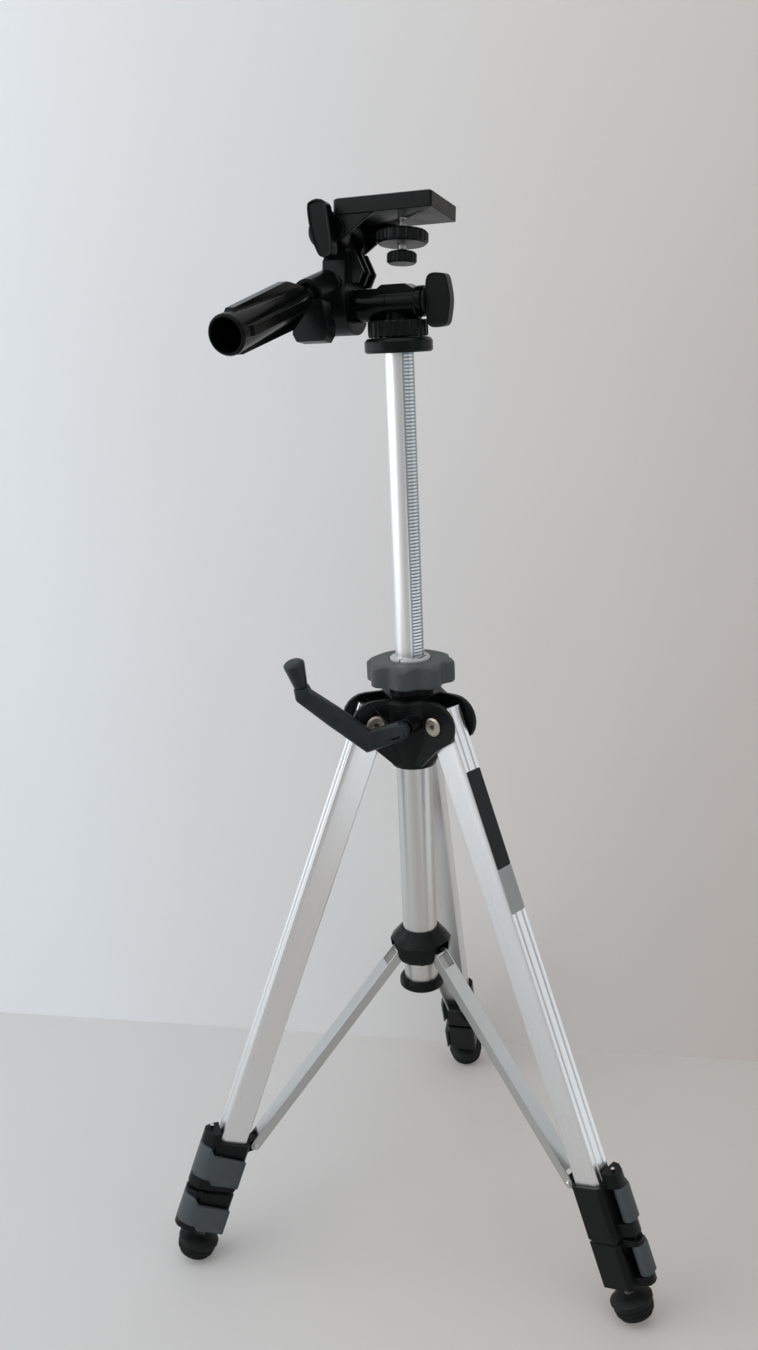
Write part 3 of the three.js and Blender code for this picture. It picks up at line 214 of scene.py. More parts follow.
# fine lines along local Z, as on a drawn tube, and the cloudy patches that handling leaves
def buildDrawnStreaks():
    inputs = [("Position", vectorKind, None), ("Fineness", numberKind, 1.0)]
    outputs = [("Streak", numberKind), ("Cloud", numberKind)]
    tree, given, result = newTree("drawnStreaks", "ShaderNodeTree", inputs, outputs)
    stretch = {0: given["Position"], 1: (1.0, 1.0, 0.006)}
    long = addNode(tree, "ShaderNodeVectorMath", stretch, operation="MULTIPLY").outputs[0]
    size = mathNode(tree, "MULTIPLY", given["Fineness"], 1500.0)
    fine = noiseNode(tree, long, size, 3.0, 0.7)
    broad = noiseNode(tree, long, mathNode(tree, "MULTIPLY", size, 0.16), 2.0)
    both = mathNode(tree, "ADD", mathNode(tree, "MULTIPLY", fine, 0.6), mathNode(tree, "MULTIPLY", broad, 0.4))
    cloud = noiseNode(tree, given["Position"], 18.0, 4.0)
    tree.links.new(mapRange(tree, both, 0.35, 0.65, 0.0, 1.0), result["Streak"])
    tree.links.new(mapRange(tree, cloud, 0.32, 0.68, 0.0, 1.0), result["Cloud"])
    return tree


mouldedGrain = buildMouldedGrain()
edgeWearAndSheen = buildEdgeWearAndSheen()
settledDust = buildSettledDust()
drawnStreaks = buildDrawnStreaks()
print("shader groups built")


# materials: plastics and rubbers, metals, and the nylon collet
def newMaterial(name):
    material = bpy.data.materials.new(name)
    material.use_nodes = True
    tree = material.node_tree
    return material, tree, tree.nodes["Principled BSDF"]


def placeGroup(tree, group, position, values):
    return addNode(tree, "ShaderNodeGroup", {"Position": position, **values}, node_tree=group).outputs


def addBump(tree, shader, height, depth, strength):
    bump = addNode(tree, "ShaderNodeBump", {"Height": height, "Distance": depth, "Strength": strength})
    tree.links.new(bump.outputs["Normal"], shader.inputs["Normal"])


# colours are linear; grain and mottle are counts a metre, depth is metres
# each finish's edge colour is wear and a painted edge highlight together
plastics = {
    "blackPlastic": {
        "dark": (0.0034, 0.0046, 0.0047), "light": (0.0048, 0.0062, 0.0064), "edge": (0.030, 0.034, 0.034),
        "rough": (0.28, 0.38), "grain": 2400, "mottle": 70, "depth": 0.000012, "wearAndSheen": 0.3, "dust": 0.012, "ior": 1.25},
    "glossPlastic": {
        "dark": (0.0018, 0.0024, 0.0024), "light": (0.0028, 0.0036, 0.0036), "edge": (0.026, 0.029, 0.029),
        "rough": (0.14, 0.22), "grain": 900, "mottle": 45, "depth": 0.000006, "wearAndSheen": 0.25, "dust": 0.008, "ior": 1.2},
    "leverPlastic": {
        "dark": (0.076, 0.088, 0.094), "light": (0.087, 0.101, 0.107), "edge": (0.14, 0.155, 0.155),
        "rough": (0.42, 0.56), "grain": 2100, "mottle": 60, "depth": 0.00004, "wearAndSheen": 0.35, "dust": 0.03, "ior": 1.28},
    "collarPlastic": {
        "dark": (0.074, 0.083, 0.082), "light": (0.086, 0.096, 0.095), "edge": (0.16, 0.16, 0.15),
        "rough": (0.42, 0.55), "grain": 2100, "mottle": 60, "depth": 0.00004, "wearAndSheen": 0.35, "dust": 0.03, "ior": 1.28},
    # a lighter copy of the black plastic for the crank: painted light from the window side
    "litCrankPlastic": {
        "dark": (0.020, 0.026, 0.028), "light": (0.026, 0.033, 0.036), "edge": (0.06, 0.07, 0.075),
        "rough": (0.26, 0.36), "grain": 2400, "mottle": 70, "depth": 0.000012, "wearAndSheen": 0.3, "dust": 0.012, "ior": 1.28},
    "footRubber": {
        "dark": (0.006, 0.0066, 0.0068), "light": (0.0105, 0.0112, 0.0115), "edge": (0.035, 0.035, 0.033),
        "rough": (0.45, 0.6), "grain": 1300, "mottle": 110, "depth": 0.00003, "wearAndSheen": 0.4, "dust": 0.03, "ior": 1.28},
    # painted shade for the leg bolts' square sockets
    "socketPaintedShade": {
        "dark": (0.045, 0.040, 0.032), "light": (0.06, 0.054, 0.044), "edge": (0.1, 0.09, 0.07),
        "rough": (0.4, 0.5), "grain": 1300, "mottle": 110, "depth": 0.00001, "wearAndSheen": 0.2, "dust": 0.01, "ior": 1.28},
    "padRubber": {
        "dark": (0.005, 0.0052, 0.0055), "light": (0.0085, 0.0088, 0.009), "edge": (0.03, 0.03, 0.03),
        "rough": (0.5, 0.65), "grain": 1700, "mottle": 90, "depth": 0.00008, "wearAndSheen": 0.2, "dust": 0.03, "ior": 1.28},
    "labelFilm": {
        "dark": (0.003, 0.0034, 0.0038), "light": (0.004, 0.0045, 0.005), "edge": (0.02, 0.02, 0.02),
        "rough": (0.2, 0.3), "grain": 500, "mottle": 40, "depth": 0.000004, "wearAndSheen": 0.15, "dust": 0.01, "ior": 1.28},
    "labelSilver": {
        "dark": (0.36, 0.37, 0.37), "light": (0.42, 0.43, 0.43), "edge": (0.5, 0.5, 0.5),
        "rough": (0.28, 0.38), "grain": 500, "mottle": 40, "depth": 0.000004, "wearAndSheen": 0.1, "dust": 0.01, "ior": 1.28},
}
moulding = {"edgeWidth": 0.0007, "bump": 0.9, "dust": (0.32, 0.31, 0.29), "dustRough": 0.4}


def plasticMaterial(name, finish):
    material, tree, shader = newMaterial(name)
    position = objectPosition(tree)
    scales = {"Grain Scale": finish["grain"], "Mottle Scale": finish["mottle"]}
    grain = placeGroup(tree, mouldedGrain, position, scales)
    edges = placeGroup(tree, edgeWearAndSheen, position, {"Width": moulding["edgeWidth"], "Amount": finish["wearAndSheen"]})
    dust = placeGroup(tree, settledDust, position, {"Amount": finish["dust"]})
    body = mixColours(tree, grain["Mottle"], finish["dark"], finish["light"])
    # edges lighter: wear and a painted highlight
    wornAndSheen = mixColours(tree, edges["Edge"], body, finish["edge"])
    tree.links.new(mixColours(tree, dust["Dust"], wornAndSheen, moulding["dust"]), shader.inputs["Base Color"])
    rough = mapRange(tree, grain["Mottle"], 0.0, 1.0, *finish["rough"])
    dulling = mathNode(tree, "MULTIPLY", dust["Dust"], moulding["dustRough"])
    tree.links.new(mathNode(tree, "ADD", rough, dulling, clamp=True), shader.inputs["Roughness"])
    addBump(tree, shader, grain["Height"], finish["depth"], moulding["bump"])
    shader.inputs["IOR"].default_value = finish["ior"]
    return material


metals = {
    "aluminium": {"dark": (0.76, 0.765, 0.77), "light": (0.785, 0.79, 0.795), "rough": (0.25, 0.28),
                  "depth": 0.00000025, "fine": 1.0, "wearAndSheen": 0.25},
    "sleeveAluminium": {"dark": (0.61, 0.61, 0.60), "light": (0.64, 0.64, 0.625), "rough": (0.32, 0.36),
                        "depth": 0.0000005, "fine": 1.0, "wearAndSheen": 0.25},
    "columnChrome": {"dark": (0.83, 0.83, 0.84), "light": (0.85, 0.85, 0.86), "rough": (0.29, 0.32),
                     "depth": 0.0000002, "fine": 1.2, "wearAndSheen": 0.3},
    # the braces get a much darker copy of the legs' aluminium: painted shade for their shadowed channels
    "shadedBraceAluminium": {"dark": (0.49, 0.495, 0.49), "light": (0.52, 0.525, 0.52), "rough": (0.28, 0.32),
                       "depth": 0.00000025, "fine": 1.0, "wearAndSheen": 0.25},
    "zinc": {"dark": (0.50, 0.51, 0.52), "light": (0.62, 0.63, 0.63), "rough": (0.24, 0.36),
             "depth": 0.000004, "fine": 1.4, "wearAndSheen": 0.4},
    "nickel": {"dark": (0.40, 0.36, 0.29), "light": (0.52, 0.475, 0.395), "rough": (0.34, 0.46),
               "depth": 0.000004, "fine": 1.4, "wearAndSheen": 0.6},
}
# the rubbed colour on metal edges is wear and a painted edge highlight together
drawing = {"edgeWidth": 0.0005, "bump": 0.8, "rubbedAndSheen": (0.92, 0.92, 0.92), "streakRough": 0.06}

# the rack is cut into one side of the round column; its gaps get a painted shade, a dark blue-grey
rack = {"angle": -38, "pitch": 2.5133, "tooth": 1.3, "root": 9.55, "tip": 10.98, "sweep": 64, "half": 5.4,
        "low": 438.2, "high": 719, "gapShade": (0.30, 0.37, 0.41)}


# where the painted shade goes: 1 on the floors of the rack's gaps, fading up the sides of the teeth
def rackGapShade(tree, position):
    spin = turned(-rack["angle"], "Z")
    onColumn = {"Vector": position, "Rotation": spin.to_euler("XYZ"), "Location": -(spin @ axisFoot)}
    place = splitVector(tree, addNode(tree, "ShaderNodeMapping", onColumn).outputs["Vector"])
    root, half = rack["root"] * 0.001, rack["half"] * 0.001
    out = mapRange(tree, place["X"], root - 0.0003, root - 0.0001, 0.0, 1.0)
    deep = mapRange(tree, place["X"], root + 0.0002, root + 0.0009, 1.0, 0.0)
    inside = mapRange(tree, mathNode(tree, "ABSOLUTE", place["Y"]), half, half + 0.0002, 1.0, 0.0)
    return mathNode(tree, "MULTIPLY", mathNode(tree, "MULTIPLY", out, inside), deep)


# the streaks run along local Z of the frame that turn gives
def metalMaterial(name, finish, turn=None, gapShaded=False):
    material, tree, shader = newMaterial(name)
    position = objectPosition(tree)
    mapping = addNode(tree, "ShaderNodeMapping", {"Vector": position})
    if turn is not None:
        mapping.inputs["Rotation"].default_value = turn.inverted().to_euler("XYZ")
    drawn = placeGroup(tree, drawnStreaks, mapping.outputs["Vector"], {"Fineness": finish["fine"]})
    edges = placeGroup(tree, edgeWearAndSheen, position, {"Width": drawing["edgeWidth"], "Amount": finish["wearAndSheen"]})
    body = mixColours(tree, drawn["Streak"], finish["dark"], finish["light"])
    # edges lighter: wear and a painted highlight
    bright = mixColours(tree, edges["Edge"], body, drawing["rubbedAndSheen"])
    # painted shade in the rack's gaps on the column
    if gapShaded:
        bright = mixColours(tree, rackGapShade(tree, position), bright, rack["gapShade"])
    tree.links.new(bright, shader.inputs["Base Color"])
    handled = mapRange(tree, drawn["Cloud"], 0.0, 1.0, *finish["rough"])
    lined = mathNode(tree, "MULTIPLY", drawn["Streak"], drawing["streakRough"])
    tree.links.new(mathNode(tree, "ADD", handled, lined, clamp=True), shader.inputs["Roughness"])
    addBump(tree, shader, drawn["Streak"], finish["depth"], drawing["bump"])
    shader.inputs["Metallic"].default_value = 1.0
    return material


nylon = {"dark": (0.62, 0.64, 0.64), "light": (0.74, 0.76, 0.75), "rough": (0.3, 0.42),
         "grain": 1400, "mottle": 90, "clear": 0.25}


def nylonMaterial(name, finish):
    material, tree, shader = newMaterial(name)
    scales = {"Grain Scale": finish["grain"], "Mottle Scale": finish["mottle"]}
    mottle = placeGroup(tree, mouldedGrain, objectPosition(tree), scales)["Mottle"]
    tree.links.new(mixColours(tree, mottle, finish["dark"], finish["light"]), shader.inputs["Base Color"])
    tree.links.new(mapRange(tree, mottle, 0.0, 1.0, *finish["rough"]), shader.inputs["Roughness"])
    shader.inputs["Transmission Weight"].default_value = finish["clear"]
    return material


finishes = {name: plasticMaterial(name, finish) for name, finish in plastics.items()}
for name in ("zinc", "nickel", "sleeveAluminium", "columnChrome"):
    finishes[name] = metalMaterial(name, metals[name], gapShaded=name == "columnChrome")
finishes["nylon"] = nylonMaterial("nylon", nylon)
braceLean = radians(stance["braceLean"])
for side, angle in legAngles.items():
    for part, metal, lean in (("leg", "aluminium", legLean), ("brace", "shadedBraceAluminium", braceLean)):
        along = turned(angle, "Z") @ Matrix.Rotation(-lean, 4, "Y")
        finishes[f"{side}_{part}"] = metalMaterial(f"aluminium_{side}_{part}", metals[metal], along)
print("materials built:", len(finishes))

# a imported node's finish goes by how its name ends
endings = {
    "lever": "leverPlastic", "lock_collar": "collarPlastic", "crank_knob": "litCrankPlastic", "crank_arm": "litCrankPlastic",
    "rubber_foot": "footRubber", "platform_pad": "padRubber", "pivot_bolt": "nickel", "foot_stud": "zinc",
    "handle_rod": "zinc", "collet": "nylon", "lower_sleeve": "sleeveAluminium", "handle_grip": "glossPlastic",
}


def finishOf(name):
    for side in legAngles:
        if name.startswith(side) and name.endswith("_tube"):
            return f"{side}_leg"
        if name == f"{side}_brace":
            return name
    return next((finish for ending, finish in endings.items() if name.endswith(ending)), "blackPlastic")


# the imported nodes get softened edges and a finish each
def buildCleanShading():
    ends = [("Geometry", geometryKind, None)], [("Geometry", geometryKind)]
    tree, given, result = newTree("cleanShading", "GeometryNodeTree", *ends)
    shape = given["Geometry"]
    for kind, inputs, settings in (
        ("GeometryNodeMergeByDistance", {"Distance": 0.000005}, {}),
        ("GeometryNodeRemoveAttribute", {"Name": "custom_normal"}, {}),
        ("GeometryNodeSetShadeSmooth", {}, {"domain": "FACE"}),
        ("GeometryNodeSetShadeSmooth", {}, {"domain": "EDGE"}),
    ):
        shape = addNode(tree, kind, {"Geometry": shape, **inputs}, **settings).outputs["Geometry"]
    tree.links.new(shape, result["Geometry"])
    return tree


cleanShading = buildCleanShading()
softening = {
    "width": 0.00035, "angle": 33, "segments": 2, "flat": 0.8, "weight": 60,
    "round": {"ending": "lever", "width": 0.0008, "angle": 52},
    "own": {"brace_collar": 0.0003, "crank_shaft": 0.0002, "column_collet": 0.0002, "crank_arm": 0.0009,
            "column_lock_collar": 0.0008, "camera_platform": 0.0006, "shoulder": 0.0006},
}


def addModifier(thing, name, kind, **settings):
    made = thing.modifiers.new(name, kind)
    for key, value in settings.items():
        setattr(made, key, value)


def softenNode(name, thing):
    crowned = name.endswith(softening["round"]["ending"])
    width, angle = softening["own"].get(name, softening["width"]), softening["angle"]
    if crowned:
        width, angle = softening["round"]["width"], softening["round"]["angle"]
    addModifier(thing, "cleanShading", "NODES", node_group=cleanShading)
    addModifier(thing, "flatFaces", "DECIMATE", decimate_type="DISSOLVE", angle_limit=radians(softening["flat"]))
    addModifier(thing, "softEdges", "BEVEL", width=width, segments=softening["segments"], limit_method="ANGLE",
                angle_limit=radians(angle), use_clamp_overlap=False)
    if not crowned:
        addModifier(thing, "evenNormals", "WEIGHTED_NORMAL", keep_sharp=True, weight=softening["weight"])


for name, thing in nodes.items():
    thing.data.materials.clear()
    thing.data.materials.append(finishes[finishOf(name)])
    softenNode(name, thing)
print("packed nodes dressed")


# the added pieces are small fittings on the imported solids, and four parts that replace plainer ones
pieceEdges = {"sharp": 38, "bevelled": 30, "segments": 3}


def linkPiece(name, mesh, axes, body, finish):
    mesh.name = name
    mesh.transform(axes)
    mesh.update()
    thing = bpy.data.objects.new(name, mesh)
    bpy.context.scene.collection.objects.link(thing)
    mesh.materials.clear()
    mesh.materials.append(finishes[finish])
    mesh.shade_smooth()
    mesh.set_sharp_from_angle(angle=radians(pieceEdges["sharp"]))
    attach(thing, body)
    return thing


def softenPiece(thing, width):
    addModifier(thing, "softEdges", "BEVEL", width=width, segments=pieceEdges["segments"], limit_method="ANGLE",
                angle_limit=radians(pieceEdges["bevelled"]))
    addModifier(thing, "evenNormals", "WEIGHTED_NORMAL", keep_sharp=True)


def meshOf(shape):
    mesh = bpy.data.meshes.new("shape")
    shape.to_mesh(mesh)
    shape.free()
    return mesh


def joinedMesh(meshes):
    shape = bmesh.new()
    for mesh in meshes:
        shape.from_mesh(mesh)
    return meshOf(shape)


# a closed turned shape from radius and height pairs, about local Z
def turnedMesh(profile, sides):
    shape = bmesh.new()
    rings = []
    for radius, height in profile:
        if radius < 0.001:
            rings.append([shape.verts.new((0, 0, height))])
            continue
        ring = [(radius * cos(2 * pi * i / sides), radius * sin(2 * pi * i / sides), height) for i in range(sides)]
        rings.append([shape.verts.new(point) for point in ring])
    for low, high in zip(rings, rings[1:]):
        for i in range(sides):
            j = (i + 1) % sides
            corners = [low[i % len(low)], low[j % len(low)], high[j % len(high)], high[i % len(high)]]
            face = list(dict.fromkeys(corners))
            if len(face) > 2:
                shape.faces.new(face)
    bmesh.ops.recalc_face_normals(shape, faces=shape.faces)
    return meshOf(shape)


# a slab between two heights of local Z
def slabMesh(outline, low, high):
    shape = bmesh.new()
    base = shape.faces.new([shape.verts.new((x, y, low)) for x, y in outline])
    made = bmesh.ops.extrude_face_region(shape, geom=[base])["geom"]
    raised = [part for part in made if isinstance(part, bmesh.types.BMVert)]
    bmesh.ops.translate(shape, vec=(0, 0, high - low), verts=raised)
    bmesh.ops.recalc_face_normals(shape, faces=shape.faces)
    return meshOf(shape)


# points round an arc, both of its ends among them
def arcPoints(centreX, centreY, radius, first, last, steps):
    angles = [first + (last - first) * step / steps for step in range(steps + 1)]
    return [(centreX + radius * cos(angle), centreY + radius * sin(angle)) for angle in angles]


# a closed curve through a few points of an outline
def smoothOutline(points, steps):
    count, made = len(points), []
    for i in range(count):
        before, here, after, beyond = (Vector(points[(i + k) % count]) for k in (-1, 0, 1, 2))
        for step in range(steps):
            t = step / steps
            made.append(0.5 * (2 * here + (after - before) * t + (2 * before - 5 * here + 4 * after - beyond) * t ** 2
                               + (3 * here - before - 3 * after + beyond) * t ** 3))
    return made


# node trees make what repeats or winds: each takes its sizes and a material
def newShapeTree(name, sizes):
    inputs = [(label, numberKind, value) for label, value in sizes.items()]
    inputs.append(("Material", "NodeSocketMaterial", None))
    return newTree(name, "GeometryNodeTree", inputs, [("Geometry", geometryKind)])


# ends a tree: instances made real, one material set
def endTree(tree, given, result, geometry):
    real = addNode(tree, "GeometryNodeRealizeInstances", {0: geometry}).outputs[0]
    painted = addNode(tree, "GeometryNodeSetMaterial", {"Geometry": real, "Material": given["Material"]})
    tree.links.new(painted.outputs["Geometry"], result["Geometry"])
    return tree


def joinShapes(tree, *shapes):
    both = addNode(tree, "GeometryNodeJoinGeometry")
    for shape in shapes:
        tree.links.new(shape, both.inputs[0])
    return both.outputs[0]


def spreadOn(tree, points, shape, **turn):
    return addNode(tree, "GeometryNodeInstanceOnPoints", {"Points": points, "Instance": shape, **turn}).outputs[0]


# a screw thread: a core with a pointed ridge wound round it
def buildThread():
    sizes = {"Radius": 3.2, "Length": 20.0, "Turns": 15.0, "Ridge": 0.3}
    tree, given, result = newShapeTree("woundThread", sizes)
    radius, length = given["Radius"], given["Length"]
    spiral = addNode(tree, "GeometryNodeCurveSpiral", {
        "Resolution": 20, "Start Radius": radius, "End Radius": radius, "Height": length, "Rotations": given["Turns"]})
    section = addNode(tree, "GeometryNodeCurvePrimitiveCircle", {"Resolution": 4, "Radius": given["Ridge"]})
    ridge = addNode(tree, "GeometryNodeCurveToMesh", {
        "Curve": spiral.outputs["Curve"], "Profile Curve": section.outputs["Curve"], "Fill Caps": True})
    core = addNode(tree, "GeometryNodeMeshCylinder", {"Vertices": 28, "Radius": radius, "Depth": length})
    middle = joinVector(tree, 0, 0, mathNode(tree, "MULTIPLY", length, 0.5))
    lifted = addNode(tree, "GeometryNodeTransform", {"Geometry": core.outputs["Mesh"], "Translation": middle})
    return endTree(tree, given, result, joinShapes(tree, lifted.outputs["Geometry"], ridge.outputs["Mesh"]))


# a row of rack teeth: round segments that stand out over the column's flat
def buildRackTeeth():
    sizes = {"Radius": 11.0, "Sweep": 1.0, "Tooth": 1.3, "Pitch": 2.5, "Run": 280.0}
    tree, given, result = newShapeTree("rackTeeth", sizes)
    arc = addNode(tree, "GeometryNodeCurveArc", {
        "Resolution": 14, "Radius": given["Radius"], "Sweep Angle": given["Sweep"],
        "Start Angle": mathNode(tree, "MULTIPLY", given["Sweep"], -0.5)})
    closed = addNode(tree, "GeometryNodeSetSplineCyclic", {"Geometry": arc.outputs["Curve"], "Cyclic": True})
    face = addNode(tree, "GeometryNodeFillCurve", {"Curve": closed.outputs["Geometry"]}, mode="NGONS")
    raised = addNode(tree, "GeometryNodeExtrudeMesh", {
        "Mesh": face.outputs["Mesh"], "Offset": joinVector(tree, 0, 0, 1), "Offset Scale": given["Tooth"],
        "Individual": False})
    under = addNode(tree, "GeometryNodeFlipFaces", {"Mesh": face.outputs["Mesh"]})
    both = joinShapes(tree, raised.outputs["Mesh"], under.outputs["Mesh"])
    whole = addNode(tree, "GeometryNodeMergeByDistance", {"Geometry": both})
    row = addNode(tree, "GeometryNodeMeshLine", {
        "Count": mathNode(tree, "DIVIDE", given["Run"], given["Pitch"]),
        "Offset": joinVector(tree, 0, 0, given["Pitch"])})
    return endTree(tree, given, result, spreadOn(tree, row.outputs["Mesh"], whole.outputs["Geometry"]))


# four low rivet heads, one on each side of a brace at each end
def buildRivets():
    sizes = {"Run": 150.0, "Across": 15.0, "Radius": 2.0, "Height": 0.7}
    tree, given, result = newShapeTree("braceRivets", sizes)
    corners = addNode(tree, "GeometryNodeMeshGrid", {
        "Vertices X": 2, "Vertices Y": 2, "Size X": given["Run"], "Size Y": given["Across"]})
    stood = addNode(tree, "GeometryNodeTransform", {
        "Geometry": corners.outputs["Mesh"], "Rotation": (0, -pi / 2, 0),
        "Translation": joinVector(tree, 0, 0, mathNode(tree, "MULTIPLY", given["Run"], 0.5))})
    rivet = addNode(tree, "GeometryNodeMeshCone", {
        "Vertices": 20, "Side Segments": 1, "Radius Top": mathNode(tree, "MULTIPLY", given["Radius"], 0.6),
        "Radius Bottom": given["Radius"], "Depth": given["Height"]})
    place = splitVector(tree, addNode(tree, "GeometryNodeInputPosition").outputs[0])
    outward = {"Vector": joinVector(tree, 0, place["Y"], 0)}
    aimed = addNode(tree, "FunctionNodeAlignRotationToVector", outward, axis="Z").outputs[0]
    spread = spreadOn(tree, stood.outputs["Geometry"], rivet.outputs["Mesh"], Rotation=aimed)
    return endTree(tree, given, result, spread)


# rows of low square studs, left out round the screw hole
def buildStuds():
    sizes = {"Long": 68.0, "Wide": 40.0, "Pitch": 2.6, "Stud": 1.3, "Hole X": 4.0, "Hole": 6.0}
    tree, given, result = newShapeTree("padStuds", sizes)
    grid = addNode(tree, "GeometryNodeMeshGrid", {
        "Vertices X": mathNode(tree, "DIVIDE", given["Long"], given["Pitch"]),
        "Vertices Y": mathNode(tree, "DIVIDE", given["Wide"], given["Pitch"]),
        "Size X": given["Long"], "Size Y": given["Wide"]})
    place = addNode(tree, "GeometryNodeInputPosition").outputs[0]
    fromHole = {0: place, 1: joinVector(tree, given["Hole X"], 0, 0)}
    away = addNode(tree, "ShaderNodeVectorMath", fromHole, operation="DISTANCE").outputs["Value"]
    near = addNode(tree, "FunctionNodeCompare", {0: away, 1: given["Hole"]}, operation="LESS_THAN").outputs[0]
    trimmed = addNode(tree, "GeometryNodeDeleteGeometry", {"Geometry": grid.outputs["Mesh"], "Selection": near},
                      domain="POINT")
    stud = addNode(tree, "GeometryNodeMeshCone", {
        "Vertices": 4, "Depth": 0.3, "Radius Top": mathNode(tree, "MULTIPLY", given["Stud"], 0.5),
        "Radius Bottom": mathNode(tree, "MULTIPLY", given["Stud"], 0.7)})
    return endTree(tree, given, result, spreadOn(tree, trimmed.outputs["Geometry"], stud.outputs["Mesh"]))


def meshFromTree(tree, finish, sizes):
    holder = bpy.data.objects.new("holder", bpy.data.meshes.new("holder"))
    bpy.context.scene.collection.objects.link(holder)
    modifier = holder.modifiers.new("shape", "NODES")
    modifier.node_group = tree
    sockets = {item.name: item.identifier for item in tree.interface.items_tree if item.in_out == "INPUT"}
    modifier[sockets["Material"]] = finishes[finish]
    for label, value in sizes.items():
        modifier[sockets[label]] = value
    bpy.context.view_layer.update()
    made = bpy.data.meshes.new_from_object(holder.evaluated_get(bpy.context.evaluated_depsgraph_get()))
    bpy.data.objects.remove(holder)
    return made


woundThread = buildThread()
rackTeeth = buildRackTeeth()
braceRivets = buildRivets()
padStuds = buildStuds()
print("node trees built")

# the blank two-tone band on one leg's outer face: two thin plates with rounded corners
band = {"side": "front_right", "face": 11.56, "thick": 0.14, "half": 7.9, "start": 40, "change": 117, "end": 152,
        "corner": 1.2}
onFace = turned(90, "Z") @ turned(90, "X")  # takes a slab's X, Y and Z to the leg's Y, Z and X


def bandOutline(start, end):
    side, corner, outline = band["half"] - band["corner"], band["corner"], []
    low, high = corner - end, -start - corner
    for x, y, first in ((side, low, 270), (side, high, 0), (-side, high, 90), (-side, low, 180)):
        outline += arcPoints(x, y, corner, radians(first), radians(first + 90), 5)
    return outline


for tone, start, end, finish, slot in (("dark", band["start"], band["change"], "labelFilm", "black_plastic"),
                                       ("pale", band["change"], band["end"], "labelSilver", "aluminium")):
    plate = slabMesh(bandOutline(start, end), band["face"], band["face"] + band["thick"])
    linkPiece(f"leg_band_{tone}", plate, legAxes(band["side"]) @ onFace, f"{band['side']}_leg", finish)

# the centre column with its rack
column = {"radius": 11, "low": 437, "high": 722, "steps": 72}
flatAngle = acos(rack["root"] / column["radius"])
section = arcPoints(0, 0, column["radius"], flatAngle, 2 * pi - flatAngle, column["steps"])
tube = slabMesh(section, column["low"], column["high"])
teeth = meshFromTree(rackTeeth, "columnChrome", {
    "Radius": rack["tip"], "Sweep": radians(rack["sweep"]), "Tooth": rack["tooth"], "Pitch": rack["pitch"],
    "Run": rack["high"] - rack["low"]})
teeth.transform(moved(0, 0, rack["low"]))
columnAxes = tripodAxes @ turned(rack["angle"], "Z")
whole = linkPiece("column_with_rack", joinedMesh([tube, teeth]), columnAxes, "column", "columnChrome")
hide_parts("centre_column")

# the two locking knobs: a flat wing on a stem or a round seat
facing = turned(90, "X")  # a knob's local Z points towards the handle's user
wings = {
    "side_knob_wing": {
        "outline": [(-6.9, 13.6), (-3.6, 16.6), (1.2, 17.3), (6.0, 15.6), (8.2, 10.5), (10.2, 0), (12.0, -12),
                    (12.0, -18.2), (9.0, -21.2), (4.4, -21.0), (1.2, -18.2), (-2.6, -9.5), (-5.6, 2.0)],
        "near": 40.8, "far": 31.8, "rim": 1.2, "dish": 0.7, "soft": 0.0011, "steps": 4,
        "stem": [(0, -21.5), (2.6, -21.5), (3, -21.1), (3, 27.3), (6.4, 27.3), (6.4, 32.6), (0, 32.6)],
        "stemSides": 32, "stemTurn": 0, "axes": tiltAxes @ moved(-44, 0, 47),
        "body": "side_knob", "node": "side_tilt_knob", "finish": "glossPlastic"},
    "pan_knob_wing": {
        "outline": [(2.0, 0), (2.4, 11), (3.9, 16.2), (7.6, 18.1), (13.2, 17.8), (17.0, 16.6), (18.8, 12.0), (20.4, 0),
                    (18.8, -12.0), (17.0, -16.6), (13.2, -17.8), (7.6, -18.1), (3.9, -16.2), (2.4, -11)],
        "near": 4.5, "far": -4.5, "rim": 1.1, "dish": 0.5, "soft": 0.0010, "steps": 4,
        "stem": [(0, 0), (9.0, 0), (9.4, 0.6), (8.8, 2.2), (6, 3.2), (0, 3.2)],
        "stemSides": 36, "stemTurn": 90, "axes": headAxes @ moved(21, 0, 0),
        "body": "pan_knob", "node": "pan_lock_knob", "finish": "blackPlastic"},
}


# a thick wing with a raised rim round each face; the outline lies in local X and Y
def wingMesh(wing):
    shape = bmesh.new()
    shape.from_mesh(slabMesh(smoothOutline(wing["outline"], wing["steps"]), wing["far"], wing["near"]))
    for face in [f for f in shape.faces if len(f.verts) > 4]:
        bmesh.ops.inset_region(shape, faces=[face], thickness=wing["rim"])
        bmesh.ops.inset_region(shape, faces=[face], thickness=wing["dish"], depth=-wing["dish"])
    return meshOf(shape)


for name, wing in wings.items():
    stem = turnedMesh(wing["stem"], wing["stemSides"])
    stem.transform(turned(wing["stemTurn"], "Y"))
    knob = linkPiece(name, joinedMesh([wingMesh(wing), stem]), wing["axes"] @ facing, wing["body"], wing["finish"])
    softenPiece(knob, wing["soft"])
    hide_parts(wing["node"])

# the round boss on the platform's near ear, with a raised rim
earBoss = {"x": -38.5, "z": 46.6,
           "profile": [(0, 24), (9.4, 24), (10, 24.5), (10, 27.7), (9.6, 28.4), (9.0, 28.5), (8.5, 27.9), (0, 27.9)]}
linkPiece("ear_boss", turnedMesh(earBoss["profile"], 48), tiltAxes @ moved(earBoss["x"], 0, earBoss["z"]) @ facing,
          "platform", "glossPlastic")

